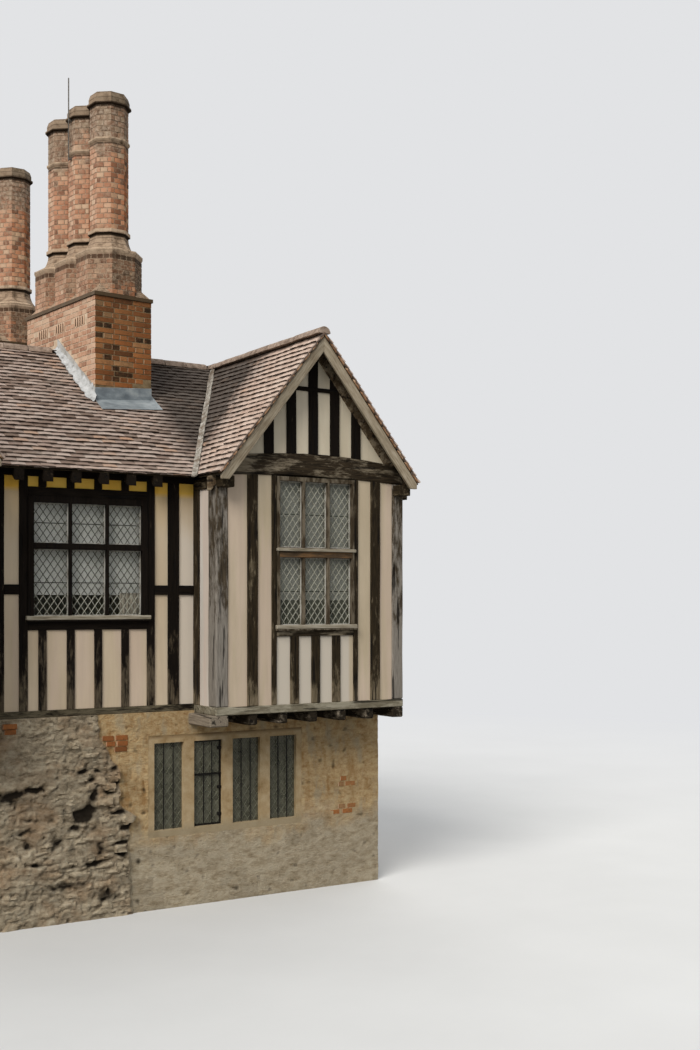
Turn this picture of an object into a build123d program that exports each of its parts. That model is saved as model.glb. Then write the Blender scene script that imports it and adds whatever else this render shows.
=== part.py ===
import os
from math import atan, cos, sin, tan, pi, radians

from build123d import *

os.makedirs("parts", exist_ok=True)

# Plan of the house: a hall range between two cross wings, mirrored left to right and front to back
wing_width = 2600
hall_width = 2600
hall_depth = 4360
jetty = 580
stone_thick = 400

# Heights above the foot of the walls
joist_foot = 2140
joist_depth = 130
board_thick = 30
bressummer_depth = 95
hall_sill_depth = 76
eaves_height = 5065

# Roof: the wings' eaves and the hall's lie at one level, and so do all the ridges
wing_pitch = 51.5
hall_eaves_reach = 206
wing_eaves_reach = 85
verge_reach = 260
tile_thick = 50
rafter_depth = 100
rafter_width = 110
rafter_pitch = 440
plumb_gap = 0.5

# Timber framing
frame_depth = 160
corner_post_depth = 210
plate_depth = 130
plate_bite = 90
tie_drop = 30
stud_width = 125
slim_stud = 90
plaster_back = 20
plaster_front = 22

# Derived plan lines: the front is on the negative side of y
hall_half = hall_width / 2
wing_mid = hall_half + wing_width / 2
house_half = hall_half + wing_width
wall_y = hall_depth / 2
jetty_y = wall_y + jetty
verge_y = jetty_y + verge_reach
front = -jetty_y
hall_front = -wall_y
frame_back = front + frame_depth
hall_back = hall_front + frame_depth
stone_back = hall_front + stone_thick

# Derived levels
floor_foot = joist_foot + joist_depth
floor_top = floor_foot + board_thick
frame_foot = floor_foot + bressummer_depth
hall_frame_foot = floor_top + hall_sill_depth

# Derived roof lines
wing_rise = tan(radians(wing_pitch))
wing_lean = cos(radians(wing_pitch))
wing_eaves_run = wing_width / 2 + wing_eaves_reach
ridge_height = eaves_height + wing_eaves_run * wing_rise
hall_eaves_y = wall_y + hall_eaves_reach
hall_rise = (ridge_height - eaves_height) / hall_eaves_y
hall_lean = cos(atan(hall_rise))
wing_under = ridge_height - tile_thick / wing_lean
wing_rafter_under = wing_under - rafter_depth / wing_lean
hall_under = ridge_height - tile_thick / hall_lean
hall_rafter_under = hall_under - rafter_depth / hall_lean
valley_foot_x = wing_mid - wing_eaves_run
tie_foot = eaves_height - tie_drop


def block(x, y, z, mode=Mode.ADD):
    """A box from its spans along the three axes."""
    with Locations(((x[0] + x[1]) / 2, (y[0] + y[1]) / 2, (z[0] + z[1]) / 2)):
        Box(x[1] - x[0], y[1] - y[0], z[1] - z[0], mode=mode)


def around(middle, width):
    """The span of one width about a middle line."""
    return (middle - width / 2, middle + width / 2)


def spread(middle, step, count):
    """Middles of a row of like pieces."""
    return [middle + step * (place - (count - 1) / 2) for place in range(count)]


def cut_out(*neighbours):
    """Take the neighbours' bodies out of the piece in hand, so that they meet face to face."""
    for neighbour in neighbours:
        add(neighbour.part, mode=Mode.SUBTRACT)


def four_corners():
    """Repeat the right front piece on the left and at the back."""
    mirror(about=Plane.YZ)
    mirror(about=Plane.XZ)


def front_and_back():
    """Repeat the front piece at the back."""
    mirror(about=Plane.XZ)


def prism_along_y(points, y, mode=Mode.ADD):
    """A prism with its outline in x and z, run between two y stations."""
    with BuildSketch(Plane.XZ.offset(-y[1])) as outline:
        with BuildLine():
            Polyline(*points, close=True)
        make_face()
    extrude(outline.sketch, amount=y[1] - y[0], mode=mode)


def prism_along_x(points, x, mode=Mode.ADD):
    """A prism with its outline in y and z, run between two x stations."""
    with BuildSketch(Plane.YZ.offset(x[0])) as outline:
        with BuildLine():
            Polyline(*points, close=True)
        make_face()
    extrude(outline.sketch, amount=x[1] - x[0], mode=mode)


def keep_below_wing_line(apex):
    """Cut the piece in hand to what lies below one line of the right wing's roof."""
    reach = wing_width
    low = apex - reach * wing_rise
    high = apex + reach
    points = [(wing_mid - reach, low), (wing_mid, apex), (wing_mid + reach, low),
              (wing_mid + reach, high), (wing_mid - reach, high)]
    prism_along_y(points, (-verge_y, verge_y), Mode.SUBTRACT)


# Chimney shaft profile: height above the stack's top, and width across the flats
plinth_across = 750
plinth_height = 500
plinth_mould = 14
mould_depth = 65
neck_height = 850
neck_across = 490
neck_depth = 50
shaft_across = 440
shaft_height = 2566
collar_drop = 571
collar_across = 480
collar_depth = 55
cap_depth = 150
cap_across = 475
cap_mould = 20
cap_bevel = 60
broach_height = 230

# Chimneys: a stack of three shafts through the hall's roof, which stands a little out of square
# with the house, and a single stack behind it
stack_width = 775
stack_corner = (518, -1030)
stack_turn = 6
stack_rise = 580
shaft_step = 600
shaft_count = 3
rear_stack_x = 670
rear_stack_back = 2997
rear_drop = 75
stack_ledge = 20
ledge_depth = 45
flue_across = 240
flue_rise = 100

stack_place = Location((stack_corner[0], stack_corner[1], 0), (0, 0, stack_turn))
stack_length = plinth_across + (shaft_count - 1) * shaft_step
stack_span = (0, stack_width)
stack_run = (0, stack_length)
stack_top = ridge_height + stack_rise
shaft_along = [plinth_across / 2 + shaft_step * place for place in range(shaft_count)]
flue_foot = floor_top + flue_rise
rear_top = stack_top - rear_drop
rear_width = plinth_across
rear_stack_y = rear_stack_back - rear_width / 2


def octagon(across, height):
    """An octagon on the level, with flats to the front and the sides."""
    with BuildSketch(Plane.XY.offset(height)) as outline:
        RegularPolygon(radius=across / 2, side_count=8, major_radius=False, rotation=22.5)
    return outline.sketch


def drum(levels):
    """A straight-sided eight-sided solid through a list of levels and widths."""
    for (low, low_across), (high, high_across) in zip(levels, levels[1:]):
        loft([octagon(low_across, low), octagon(high_across, high)], ruled=True)


def flare(foot, head, wide, narrow, steps=5):
    """Levels of a hollow curve that draws the plinth in to the neck."""
    turns = [pi / 2 * step / steps for step in range(steps + 1)]
    return [(foot + (head - foot) * (1 - cos(turn)), wide - (wide - narrow) * sin(turn)) for turn in turns]


mould_head = plinth_height + mould_depth
neck_foot = neck_height - neck_depth
mould_across = plinth_across + 2 * plinth_mould
roll_across = cap_across + 2 * cap_mould
collar_height = shaft_height - collar_drop
cap_height = shaft_height - cap_depth
roll_head = cap_height + collar_depth / 2

# One chimney shaft, from its broached plinth to the underside of its cap
with BuildPart() as plain_shaft:
    with BuildSketch(Plane.XY):
        Rectangle(plinth_across, plinth_across)
    with BuildSketch(Plane.XY.offset(broach_height)):
        Rectangle(plinth_across / 2, plinth_across / 2)
    loft(ruled=True)
    drum([(0, plinth_across), (plinth_height, plinth_across)])
    drum([(plinth_height, plinth_across), (plinth_height + mould_depth / 2, mould_across),
          (mould_head, mould_across)])
    drum(flare(mould_head, neck_foot, plinth_across, shaft_across))
    drum([(neck_foot, neck_across), (neck_height, neck_across)])
    drum([(neck_height, shaft_across), (cap_height, shaft_across)])
    block(around(0, flue_across), around(0, flue_across), (0, shaft_height), Mode.SUBTRACT)

# The main stack's shafts have a collar under the cap as well
with BuildPart() as collared_shaft:
    add(plain_shaft.part)
    drum([(collar_height - collar_depth, shaft_across), (collar_height - collar_depth / 2, collar_across),
          (collar_height, collar_across)])
    block(around(0, flue_across), around(0, flue_across), (0, shaft_height), Mode.SUBTRACT)

# The oversailing cap, with a roll at the lower edge and a weathered top
with BuildPart() as one_cap:
    drum([(cap_height, roll_across), (roll_head, roll_across)])
    drum([(roll_head, cap_across), (shaft_height - cap_bevel, cap_across),
          (shaft_height, cap_across - 2 * cap_mould)])
    block(around(0, flue_across), around(0, flue_across), (0, shaft_height), Mode.SUBTRACT)


# Ground storey: stone walls with the window openings cut through
window_light = 372
window_mullion = 137
window_jamb = 75
stone_sill_top = 920
stone_sill_depth = 80
stone_lintel_depth = 90
wall_course = 116
surround_depth = 210
surround_proud = 6
light_count = 4

lights_width = light_count * window_light + (light_count - 1) * window_mullion
surround_half = lights_width / 2 + window_jamb
surround_foot = stone_sill_top - stone_sill_depth
surround_head = joist_foot - wall_course
stone_head = surround_head - stone_lintel_depth
right_window_x = 1740
front_windows = [-wing_mid, right_window_x]
back_windows = [-wing_mid, wing_mid]


def window_hole(middle, outer, inward):
    """The opening for one stone window: the surround's seat, and the lights' width behind it."""
    seat = sorted((outer, outer + inward * surround_depth))
    through = sorted((outer, outer + inward * stone_thick))
    block(around(middle, 2 * surround_half), seat, (surround_foot, surround_head), Mode.SUBTRACT)
    block(around(middle, lights_width), through, (stone_sill_top, stone_head), Mode.SUBTRACT)


with BuildPart() as stone_wall_front:
    block((-house_half, house_half), (hall_front, stone_back), (0, joist_foot))
    block((-hall_half, hall_half), (hall_front, hall_back), (joist_foot, floor_top))
    for middle in front_windows:
        window_hole(middle, hall_front, 1)

with BuildPart() as stone_wall_back:
    block((-house_half, house_half), (-stone_back, wall_y), (0, joist_foot))
    block((-hall_half, hall_half), (-hall_back, wall_y), (joist_foot, floor_top))
    for middle in back_windows:
        window_hole(middle, wall_y, -1)

with BuildPart() as stone_wall_right:
    block((house_half - stone_thick, house_half), (stone_back, -stone_back), (0, joist_foot))

with BuildPart() as stone_wall_left:
    block((-house_half, stone_thick - house_half), (stone_back, -stone_back), (0, joist_foot))


def stone_surround(middle, outer, inward):
    """Sill, jambs, mullions and lintel of one stone window, with its lights cut through."""
    face = sorted((outer - inward * surround_proud, outer + inward * surround_depth))
    block(around(middle, 2 * surround_half), face, (surround_foot, surround_head))
    for light in spread(middle, window_light + window_mullion, light_count):
        block(around(light, window_light), face, (stone_sill_top, stone_head), Mode.SUBTRACT)


with BuildPart() as stone_window_surrounds:
    for middle in front_windows:
        stone_surround(middle, hall_front, 1)
    for middle in back_windows:
        stone_surround(middle, wall_y, -1)

# Iron casements fill the second light of each stone window
casement_bar = 22
casement_thick = 28
pane_thick = 6
glass_set_back = 50
window_lights = [(middle, hall_front, 1) for middle in front_windows]
window_lights += [(middle, wall_y, -1) for middle in back_windows]


def light_middles(middle):
    """Middles of the four lights, the casement's second."""
    return spread(middle, window_light + window_mullion, light_count)


with BuildPart() as iron_casements:
    for middle, outer, inward in window_lights:
        light = light_middles(middle)[1]
        depth = around(outer + inward * glass_set_back, casement_thick)
        block(around(light, window_light), depth, (stone_sill_top, stone_head))
        inner = around(light, window_light - 2 * casement_bar)
        block(inner, depth, (stone_sill_top + casement_bar, stone_head - casement_bar), Mode.SUBTRACT)

with BuildPart() as stone_window_glass:
    for middle, outer, inward in window_lights:
        for light in light_middles(middle):
            depth = around(outer + inward * glass_set_back, pane_thick)
            block(around(light, window_light), depth, (stone_sill_top, stone_head))
    cut_out(iron_casements)

# Chimney stacks
with BuildPart() as stack_brickwork:
    with Locations(stack_place):
        block(stack_span, stack_run, (0, stack_top - ledge_depth))
        block((-stack_ledge, stack_width + stack_ledge), (-stack_ledge, stack_length + stack_ledge),
              (stack_top - ledge_depth, stack_top))

with BuildPart() as chimney_stack:
    add(stack_brickwork.part)
    with Locations(stack_place):
        for middle in shaft_along:
            block(around(stack_width / 2, flue_across), around(middle, flue_across), (flue_foot, stack_top),
                  Mode.SUBTRACT)

with BuildPart() as rear_brickwork:
    block(around(rear_stack_x, rear_width), (wall_y, rear_stack_back), (0, rear_top - ledge_depth))
    ledge_y = around(rear_stack_y, rear_width + 2 * stack_ledge)
    block(around(rear_stack_x, rear_width + 2 * stack_ledge), ledge_y, (rear_top - ledge_depth, rear_top))

with BuildPart() as rear_stack:
    add(rear_brickwork.part)
    block(around(rear_stack_x, flue_across), around(rear_stack_y, flue_across), (flue_foot, rear_top),
          Mode.SUBTRACT)

shaft_places = [stack_place * Location((stack_width / 2, middle, stack_top)) for middle in shaft_along]
rear_place = Location((rear_stack_x, rear_stack_y, rear_top))

with BuildPart() as chimney_shafts:
    for place in shaft_places:
        add(collared_shaft.part.moved(place))
    add(plain_shaft.part.moved(rear_place))

with BuildPart() as chimney_caps:
    for place in shaft_places + [rear_place]:
        add(one_cap.part.moved(place))

# Upper floor: joists that oversail the stone wall, and the boards on them
joist_width = 120
joist_count = 7
hall_joist_step = 405
hall_joist_count = 6
joist_inset = 15
bracket_reach = 80

joist_run = (front + joist_inset, -front - joist_inset)
inner_joists = spread(wing_mid, (wing_width - frame_depth) / (joist_count - 1), joist_count)[1:-1]
edge_joists = [hall_half + frame_depth / 2, house_half - frame_depth / 2]

with BuildPart() as jetty_joists:
    for middle in edge_joists:
        block(around(middle, frame_depth), (front, -front), (joist_foot, floor_foot))
    for outer in ((front, hall_front), (-hall_front, -front)):
        block((hall_half - bracket_reach, hall_half), outer, (joist_foot, floor_foot))
    for middle in inner_joists:
        block(around(middle, joist_width), joist_run, (joist_foot, floor_foot))
    mirror(about=Plane.YZ)
    for middle in spread(0, hall_joist_step, hall_joist_count):
        block(around(middle, joist_width), (hall_back, -hall_back), (joist_foot, floor_foot))
    cut_out(stack_brickwork)

with BuildPart() as upper_floor:
    side = house_half - frame_depth
    inner = hall_half + frame_depth
    block((inner, side), (frame_back, -frame_back), (floor_foot, floor_top))
    mirror(about=Plane.YZ)
    block((-inner, inner), (hall_back, -hall_back), (floor_foot, floor_top))
    cut_out(stack_brickwork)

# Sills of the timber frame
with BuildPart() as bressummers:
    block((hall_half, house_half), (front, frame_back), (floor_foot, frame_foot))
    four_corners()

with BuildPart() as side_sills:
    block((house_half - frame_depth, house_half), (frame_back, 0), (floor_foot, frame_foot))
    block((hall_half, hall_half + frame_depth), (frame_back, hall_back), (floor_foot, frame_foot))
    four_corners()

# Wing frame: tie beam first, because posts and studs are fitted to it
tie_camber = 45
tie_depth = 210
tie_rise = 100
gable_collar_drop = 711
collar_rise = 50
gable_stud_step = 302
gable_stud_count = 5

tie_head = tie_foot + tie_depth
above_tie = (tie_foot + tie_depth / 2, ridge_height)
collar_level = ridge_height - gable_collar_drop

with BuildPart() as tie_beams:
    with BuildSketch(Plane.XZ.offset(-frame_back)):
        with BuildLine():
            Line((hall_half, tie_head), (hall_half, tie_foot))
            ThreePointArc((hall_half, tie_foot), (wing_mid, tie_foot + tie_camber), (house_half, tie_foot))
            Line((house_half, tie_foot), (house_half, tie_head))
            ThreePointArc((house_half, tie_head), (wing_mid, tie_head + tie_rise), (hall_half, tie_head))
        make_face()
    extrude(amount=frame_depth)
    keep_below_wing_line(wing_under)
    four_corners()

# Wing windows stand between two posts under the tie beam
wing_glass_width = 1000
wing_lights = 3
wing_jamb = 35
wing_head_depth = 50
wing_head_gap = 25
window_post = 65
window_shift = 35
wing_sill_top = 3300
wing_sill_depth = 60
wing_sill_end = 20
wing_rail_depth = 70
wing_upper_light = 788
wing_transom = 117
mullion_width = 28
window_frame_depth = 90
window_proud = 12
sill_reach = 45
wing_stud_offset = 855
wing_stud_width = 135
apron_stud_step = 290
apron_stud_width = 115

window_mid = wing_mid + window_shift
wing_glass_head = tie_foot - wing_head_gap
wing_opening = wing_glass_width + 2 * wing_jamb
window_post_offset = (wing_opening + window_post) / 2
wing_rail_foot = wing_sill_top - wing_sill_depth - wing_rail_depth

plate_level = wing_rafter_under - (wing_width / 2) * wing_rise + plate_bite
plate_span = (plate_level - plate_depth, plate_level)
post_back = front + corner_post_depth

with BuildPart() as wall_plates:
    block((hall_half, hall_half + frame_depth), (post_back, 0), plate_span)
    block((house_half - frame_depth, house_half), (post_back, 0), plate_span)
    block((hall_half, hall_half + frame_depth), (front - frame_depth, front), plate_span)
    block((house_half - frame_depth, house_half), (front - frame_depth, front), plate_span)
    keep_below_wing_line(wing_under)
    four_corners()

with BuildPart() as corner_posts:
    block((hall_half, hall_half + frame_depth), (front, post_back), (frame_foot, wing_under))
    block((house_half - frame_depth, house_half), (front, post_back), (frame_foot, wing_under))
    keep_below_wing_line(wing_under)
    cut_out(tie_beams)
    block((hall_half, house_half), (front, frame_back), above_tie, Mode.SUBTRACT)
    four_corners()

with BuildPart() as wing_studs:
    for side in (-1, 1):
        for offset, width in ((wing_stud_offset, wing_stud_width), (window_post_offset, window_post)):
            block(around(window_mid + side * offset, width), (front, frame_back), (frame_foot, ridge_height))
    block((hall_half, house_half), (front, frame_back), above_tie, Mode.SUBTRACT)
    for middle in spread(window_mid, apron_stud_step, wing_lights):
        block(around(middle, apron_stud_width), (front, frame_back), (frame_foot, wing_rail_foot))
    cut_out(tie_beams)
    four_corners()


def light_spans(middle, glass):
    """The spans of the lights between a window's mullions, and their common width."""
    light = (glass - (wing_lights - 1) * mullion_width) / wing_lights
    return [around(place, light) for place in spread(middle, light + mullion_width, wing_lights)]


def leaded_window(middle, face, jamb, sill_end, light_levels, head_depth):
    """A timber window frame: projecting sill, jambs, mullions, transom and head."""
    lower, upper = light_levels
    glass = light_spans(middle, jamb[0])
    sides = jamb[0] / 2 + jamb[1]
    back = face + window_frame_depth
    block(around(middle, 2 * sides), (face - window_proud, back), (lower[0], upper[1] + head_depth))
    for span in glass:
        for levels in light_levels:
            block(span, (face - window_proud, back), levels, Mode.SUBTRACT)
    sill_levels = (lower[0] - wing_sill_depth, lower[0])
    block(around(middle, 2 * sides), (face, back), sill_levels)
    block(around(middle, 2 * (sides + sill_end)), (face - sill_reach, face), sill_levels)


def window_panes(middle, face, glass, light_levels):
    """Six panes behind the frame's lights."""
    depth = around(face + window_frame_depth / 2, pane_thick)
    for span in light_spans(middle, glass):
        for levels in light_levels:
            block(span, depth, levels)


wing_upper_foot = wing_glass_head - wing_upper_light
wing_levels = [(wing_sill_top, wing_upper_foot - wing_transom), (wing_upper_foot, wing_glass_head)]

with BuildPart() as wing_windows:
    leaded_window(window_mid, front, (wing_glass_width, wing_jamb), wing_sill_end, wing_levels,
                  wing_head_depth)
    cut_out(tie_beams)
    four_corners()

# Gable above the tie beam
with BuildPart() as gable_collars:
    block(around(wing_mid, wing_width), (front, frame_back), (collar_level, collar_level + collar_rise))
    keep_below_wing_line(wing_rafter_under)
    four_corners()

with BuildPart() as gable_studs:
    for middle in spread(wing_mid, gable_stud_step, gable_stud_count):
        block(around(middle, stud_width), (front, frame_back), (tie_foot, ridge_height))
    keep_below_wing_line(wing_rafter_under)
    block((hall_half, house_half), (front, frame_back), (0, above_tie[0]), Mode.SUBTRACT)
    cut_out(tie_beams, gable_collars)
    four_corners()

# Plaster stands a little back from the timber's faces
plaster_y = (front + plaster_front, frame_back - plaster_back)

with BuildPart() as wing_plaster:
    block((hall_half + frame_depth, house_half - frame_depth), plaster_y, (frame_foot, tie_foot + tie_camber))
    block(around(window_mid, wing_opening), plaster_y, (wing_rail_foot, ridge_height), Mode.SUBTRACT)
    keep_below_wing_line(wing_rafter_under)
    cut_out(tie_beams, wing_studs)
    four_corners()

with BuildPart() as gable_plaster:
    block((hall_half, house_half), plaster_y, above_tie)
    keep_below_wing_line(wing_rafter_under)
    cut_out(tie_beams, gable_studs, gable_collars)
    four_corners()

# Side walls of the wings, and the short return walls beside the hall
side_stud_count = 7
side_rail_level = 3700
side_rail_depth = 110
return_stud_depth = 115

return_stud_front = hall_front - return_stud_depth
side_plaster_x = (house_half - frame_depth + plaster_back, house_half - plaster_front)
return_plaster_x = (hall_half + plaster_front, hall_half + frame_depth - plaster_back)
side_step = 2 * -post_back / (side_stud_count + 1)

with BuildPart() as side_studs:
    for middle in spread(0, side_step, side_stud_count):
        block((house_half - frame_depth, house_half), around(middle, stud_width), (frame_foot, plate_span[0]))
    block((hall_half, hall_half + frame_depth), (return_stud_front, hall_back), (frame_foot, plate_span[0]))
    block((hall_half, hall_half + frame_depth), (-hall_back, -return_stud_front), (frame_foot, plate_span[0]))
    mirror(about=Plane.YZ)

with BuildPart() as wing_rails:
    block((house_half - frame_depth, house_half), (post_back, -post_back),
          (side_rail_level, side_rail_level + side_rail_depth))
    for face in (front, -frame_back):
        block(around(window_mid, wing_opening), (face, face + frame_depth),
              (wing_rail_foot, wing_rail_foot + wing_rail_depth))
    mirror(about=Plane.YZ)
    cut_out(side_studs)

with BuildPart() as side_plaster:
    block(side_plaster_x, (post_back, -post_back), (frame_foot, plate_span[0]))
    block(return_plaster_x, (post_back, return_stud_front), (frame_foot, plate_span[0]))
    block(return_plaster_x, (-return_stud_front, -post_back), (frame_foot, plate_span[0]))
    mirror(about=Plane.YZ)
    cut_out(side_studs, wing_rails)

# Hall's upper storey: posts, studs, lintel, rails and window
hall_glass_width = 1283
hall_jamb = 65
hall_sill_top = 3420
hall_sill_end = 25
hall_upper_light = 449
hall_transom = 66
hall_rail_depth = 95
hall_head_depth = 71
lintel_depth = 100
cripple_height = 114
hall_post_width = 95
hall_stud_offset = 1040
hall_stud_width = 140
hall_apron_step = 325
hall_apron_shift = -50
hall_apron_count = 4
short_rail_level = 3660
hall_plate_depth = 108

hall_opening = hall_glass_width + 2 * hall_jamb
hall_plate_top = hall_rafter_under - wall_y * hall_rise + plate_bite / 2
hall_plate_foot = hall_plate_top - hall_plate_depth
lintel_top = hall_plate_foot - cripple_height
lintel_foot = lintel_top - lintel_depth
hall_glass_head = lintel_foot - hall_head_depth
hall_upper_foot = hall_glass_head - hall_upper_light
hall_levels = [(hall_sill_top, hall_upper_foot - hall_transom), (hall_upper_foot, hall_glass_head)]
hall_rail_foot = hall_sill_top - wing_sill_depth - hall_rail_depth
short_rail = (short_rail_level, short_rail_level + side_rail_depth)
hall_post_offset = (hall_opening + hall_post_width) / 2
hall_y = (hall_front, hall_back)
back_y = (-hall_back, -hall_front)
hall_middles = spread(hall_apron_shift, hall_apron_step, hall_apron_count)

with BuildPart() as hall_posts:
    for face in (hall_front, -hall_back):
        depth = (face, face + frame_depth)
        for side in (-1, 1):
            block(around(side * hall_stud_offset, hall_stud_width), depth, (hall_frame_foot, hall_plate_foot))
    for side in (-1, 1):
        block(around(side * hall_post_offset, hall_post_width), hall_y, (hall_frame_foot, hall_plate_foot))
    for middle in hall_middles:
        block(around(middle, slim_stud), hall_y, (hall_frame_foot, hall_rail_foot))
        block(around(middle, slim_stud), hall_y, (lintel_top, hall_plate_foot))
        block(around(middle, slim_stud), back_y, (hall_frame_foot, hall_plate_foot))

with BuildPart() as hall_rails:
    block((-hall_half, hall_half), hall_y, (floor_top, hall_frame_foot))
    block((-hall_half, hall_half), hall_y, (hall_plate_foot, hall_plate_top))
    for side in (-1, 1):
        start = side * (hall_post_offset + hall_post_width / 2)
        block(sorted((start, side * hall_half)), hall_y, short_rail)
    front_and_back()
    block(around(0, hall_opening), hall_y, (hall_rail_foot, hall_rail_foot + hall_rail_depth))
    block(around(0, hall_opening), hall_y, (lintel_foot, lintel_top))
    block((-hall_half, hall_half), back_y, short_rail)
    cut_out(hall_posts)

with BuildPart() as hall_windows:
    leaded_window(0, hall_front, (hall_glass_width, hall_jamb), hall_sill_end, hall_levels, hall_head_depth)

with BuildPart() as hall_plaster:
    block((-hall_half, hall_half), (hall_front + plaster_front, hall_back - plaster_back),
          (hall_frame_foot, hall_plate_foot))
    front_and_back()
    block(around(0, hall_opening), hall_y, (hall_rail_foot, lintel_foot), Mode.SUBTRACT)
    cut_out(hall_posts, hall_rails)

with BuildPart() as leaded_glass:
    window_panes(window_mid, front, wing_glass_width, wing_levels)
    four_corners()
    window_panes(0, hall_front, hall_glass_width, hall_levels)

# Blinds hang behind the leaded windows, and end some way above the sills
blind_gap = 30
blind_thick = 6
blind_lift = 300
hall_blind_lift = 238

with BuildPart() as window_blinds:
    wing_blind = around(front + window_frame_depth + blind_gap, blind_thick)
    block(around(window_mid, wing_opening), wing_blind, (wing_sill_top + blind_lift, wing_glass_head))
    four_corners()
    hall_blind = around(hall_front + window_frame_depth + blind_gap, blind_thick)
    block(around(0, hall_opening), hall_blind, (hall_sill_top + hall_blind_lift, hall_glass_head))

# Roof slopes: the hall's run up between the wings to a level ridge, and meet theirs in four valleys
def plan_cut(points):
    """Keep what stands over one outline on the ground."""
    with BuildSketch(Plane.XY) as outline:
        with BuildLine():
            Polyline(*points, close=True)
        make_face()
    extrude(outline.sketch, amount=2 * ridge_height, mode=Mode.INTERSECT)


def slope_outline(apex_run, eaves_run, rise, lean):
    """The section of one slope from its eaves edge to the ridge."""
    drop = tile_thick / lean
    eaves = ridge_height - eaves_run * rise
    return [(apex_run, ridge_height), (apex_run, ridge_height - drop),
            (eaves_run, eaves - drop), (eaves_run, eaves)]


hall_section = [(-run, level) for run, level in slope_outline(0, hall_eaves_y, hall_rise, hall_lean)]
wing_section = slope_outline(0, wing_eaves_run, wing_rise, wing_lean)
outer_section = [(wing_mid + run, level) for run, level in wing_section]
inner_section = [(wing_mid - run, level) for run, level in wing_section]
valley_plan = [(-wing_mid, 0), (wing_mid, 0), (valley_foot_x, -hall_eaves_y), (-valley_foot_x, -hall_eaves_y)]
inner_plan = [(wing_mid, 0), (wing_mid, -verge_y), (valley_foot_x, -verge_y), (valley_foot_x, -hall_eaves_y)]

with BuildPart() as hall_slope:
    prism_along_x(hall_section, (-wing_mid, wing_mid))
    plan_cut(valley_plan)

with BuildPart() as hall_slope_front:
    add(hall_slope.part)
    cut_out(stack_brickwork)

with BuildPart() as hall_slope_back:
    mirror(hall_slope.part, about=Plane.XZ)
    cut_out(stack_brickwork, rear_brickwork)

with BuildPart() as right_outer_slope:
    prism_along_y(outer_section, (-verge_y, verge_y))

with BuildPart() as left_outer_slope:
    mirror(right_outer_slope.part, about=Plane.YZ)

with BuildPart() as right_inner_slopes:
    prism_along_y(inner_section, (-verge_y, 0))
    plan_cut(inner_plan)
    front_and_back()

with BuildPart() as left_inner_slopes:
    mirror(right_inner_slopes.part, about=Plane.YZ)

# Ridge tiles: a half round bedded on the two slopes
ridge_radius = 105
ridge_sink = 60

with BuildPart() as hall_ridge:
    with BuildSketch(Plane.YZ.offset(-wing_mid)):
        with Locations((0, ridge_height - ridge_sink)):
            Circle(ridge_radius)
    extrude(amount=2 * wing_mid)
    prism_along_x([(-hall_depth, ridge_height - hall_depth * hall_rise), (0, ridge_height),
                   (hall_depth, ridge_height - hall_depth * hall_rise)], (-wing_mid, wing_mid), Mode.SUBTRACT)
    with Locations((-wing_mid, 0, ridge_height - ridge_sink), (wing_mid, 0, ridge_height - ridge_sink)):
        Cylinder(ridge_radius + plumb_gap, hall_depth, rotation=(90, 0, 0), mode=Mode.SUBTRACT)

with BuildPart() as ridge_tiles:
    with BuildSketch(Plane.XZ.offset(-verge_y)):
        with Locations((wing_mid, ridge_height - ridge_sink)):
            Circle(ridge_radius)
    extrude(amount=2 * verge_y)
    low = ridge_height - wing_width * wing_rise
    prism_along_y([(wing_mid - wing_width, low), (wing_mid, ridge_height), (wing_mid + wing_width, low)],
                  (-verge_y, verge_y), Mode.SUBTRACT)
    mirror(about=Plane.YZ)
    add(hall_ridge.part)
    cut_out(stack_brickwork, hall_slope_front, hall_slope_back, right_inner_slopes, left_inner_slopes)

# Lead flashing: an apron on the tiles in front of the stack, and an upstand against its sides
sheet = 5
apron_reach = 190
apron_side = 60
upstand = 150


def over_hall_slope(height, span, run):
    """A layer of one height on the hall's front slope, kept to one outline in the stack's frame."""
    reach = hall_depth / 2
    foot = ridge_height - reach * hall_rise
    prism_along_x([(-reach, foot), (0, ridge_height), (0, ridge_height + height), (-reach, foot + height)],
                  (-wing_mid, wing_mid))
    with Locations(stack_place):
        block(span, run, (0, stack_top), Mode.INTERSECT)


with BuildPart() as lead_apron:
    over_hall_slope(sheet, (-sheet, stack_width + apron_side), (-apron_reach, stack_width))

with BuildPart() as lead_upstand:
    over_hall_slope(upstand, (-sheet, stack_width + sheet), (-sheet, stack_length))

with BuildPart() as stack_flashing:
    add(lead_apron.part)
    add(lead_upstand.part)
    cut_out(stack_brickwork, ridge_tiles)

# Rafters under the slopes
rafter_count = 11
hall_rafter_count = 6
rafter_feet_back = 25
trimmer_gap = 20

stack_box = stack_brickwork.part.bounding_box()


def rafter_section(apex, run, rise, lean):
    """The outline of one rafter: plumb cuts at the ridge and at the foot."""
    drop = rafter_depth / lean
    near = plumb_gap
    return [(near, apex - near * rise), (near, apex - drop - near * rise), (run, apex - drop - run * rise),
            (run, apex - run * rise)]


with BuildPart() as wing_rafters:
    section = rafter_section(wing_under, wing_eaves_run - rafter_feet_back, wing_rise, wing_lean)
    for middle in spread(0, rafter_pitch, rafter_count):
        prism_along_y([(wing_mid + run, level) for run, level in section], around(middle, rafter_width))
    for face in (front, -front - rafter_width):
        gable_y = (face, face + rafter_width)
        prism_along_y([(wing_mid + run, level) for run, level in section], gable_y)
        prism_along_y([(wing_mid - run, level) for run, level in section], gable_y)
    mirror(about=Plane.YZ)
    cut_out(wall_plates, tie_beams, corner_posts)

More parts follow.
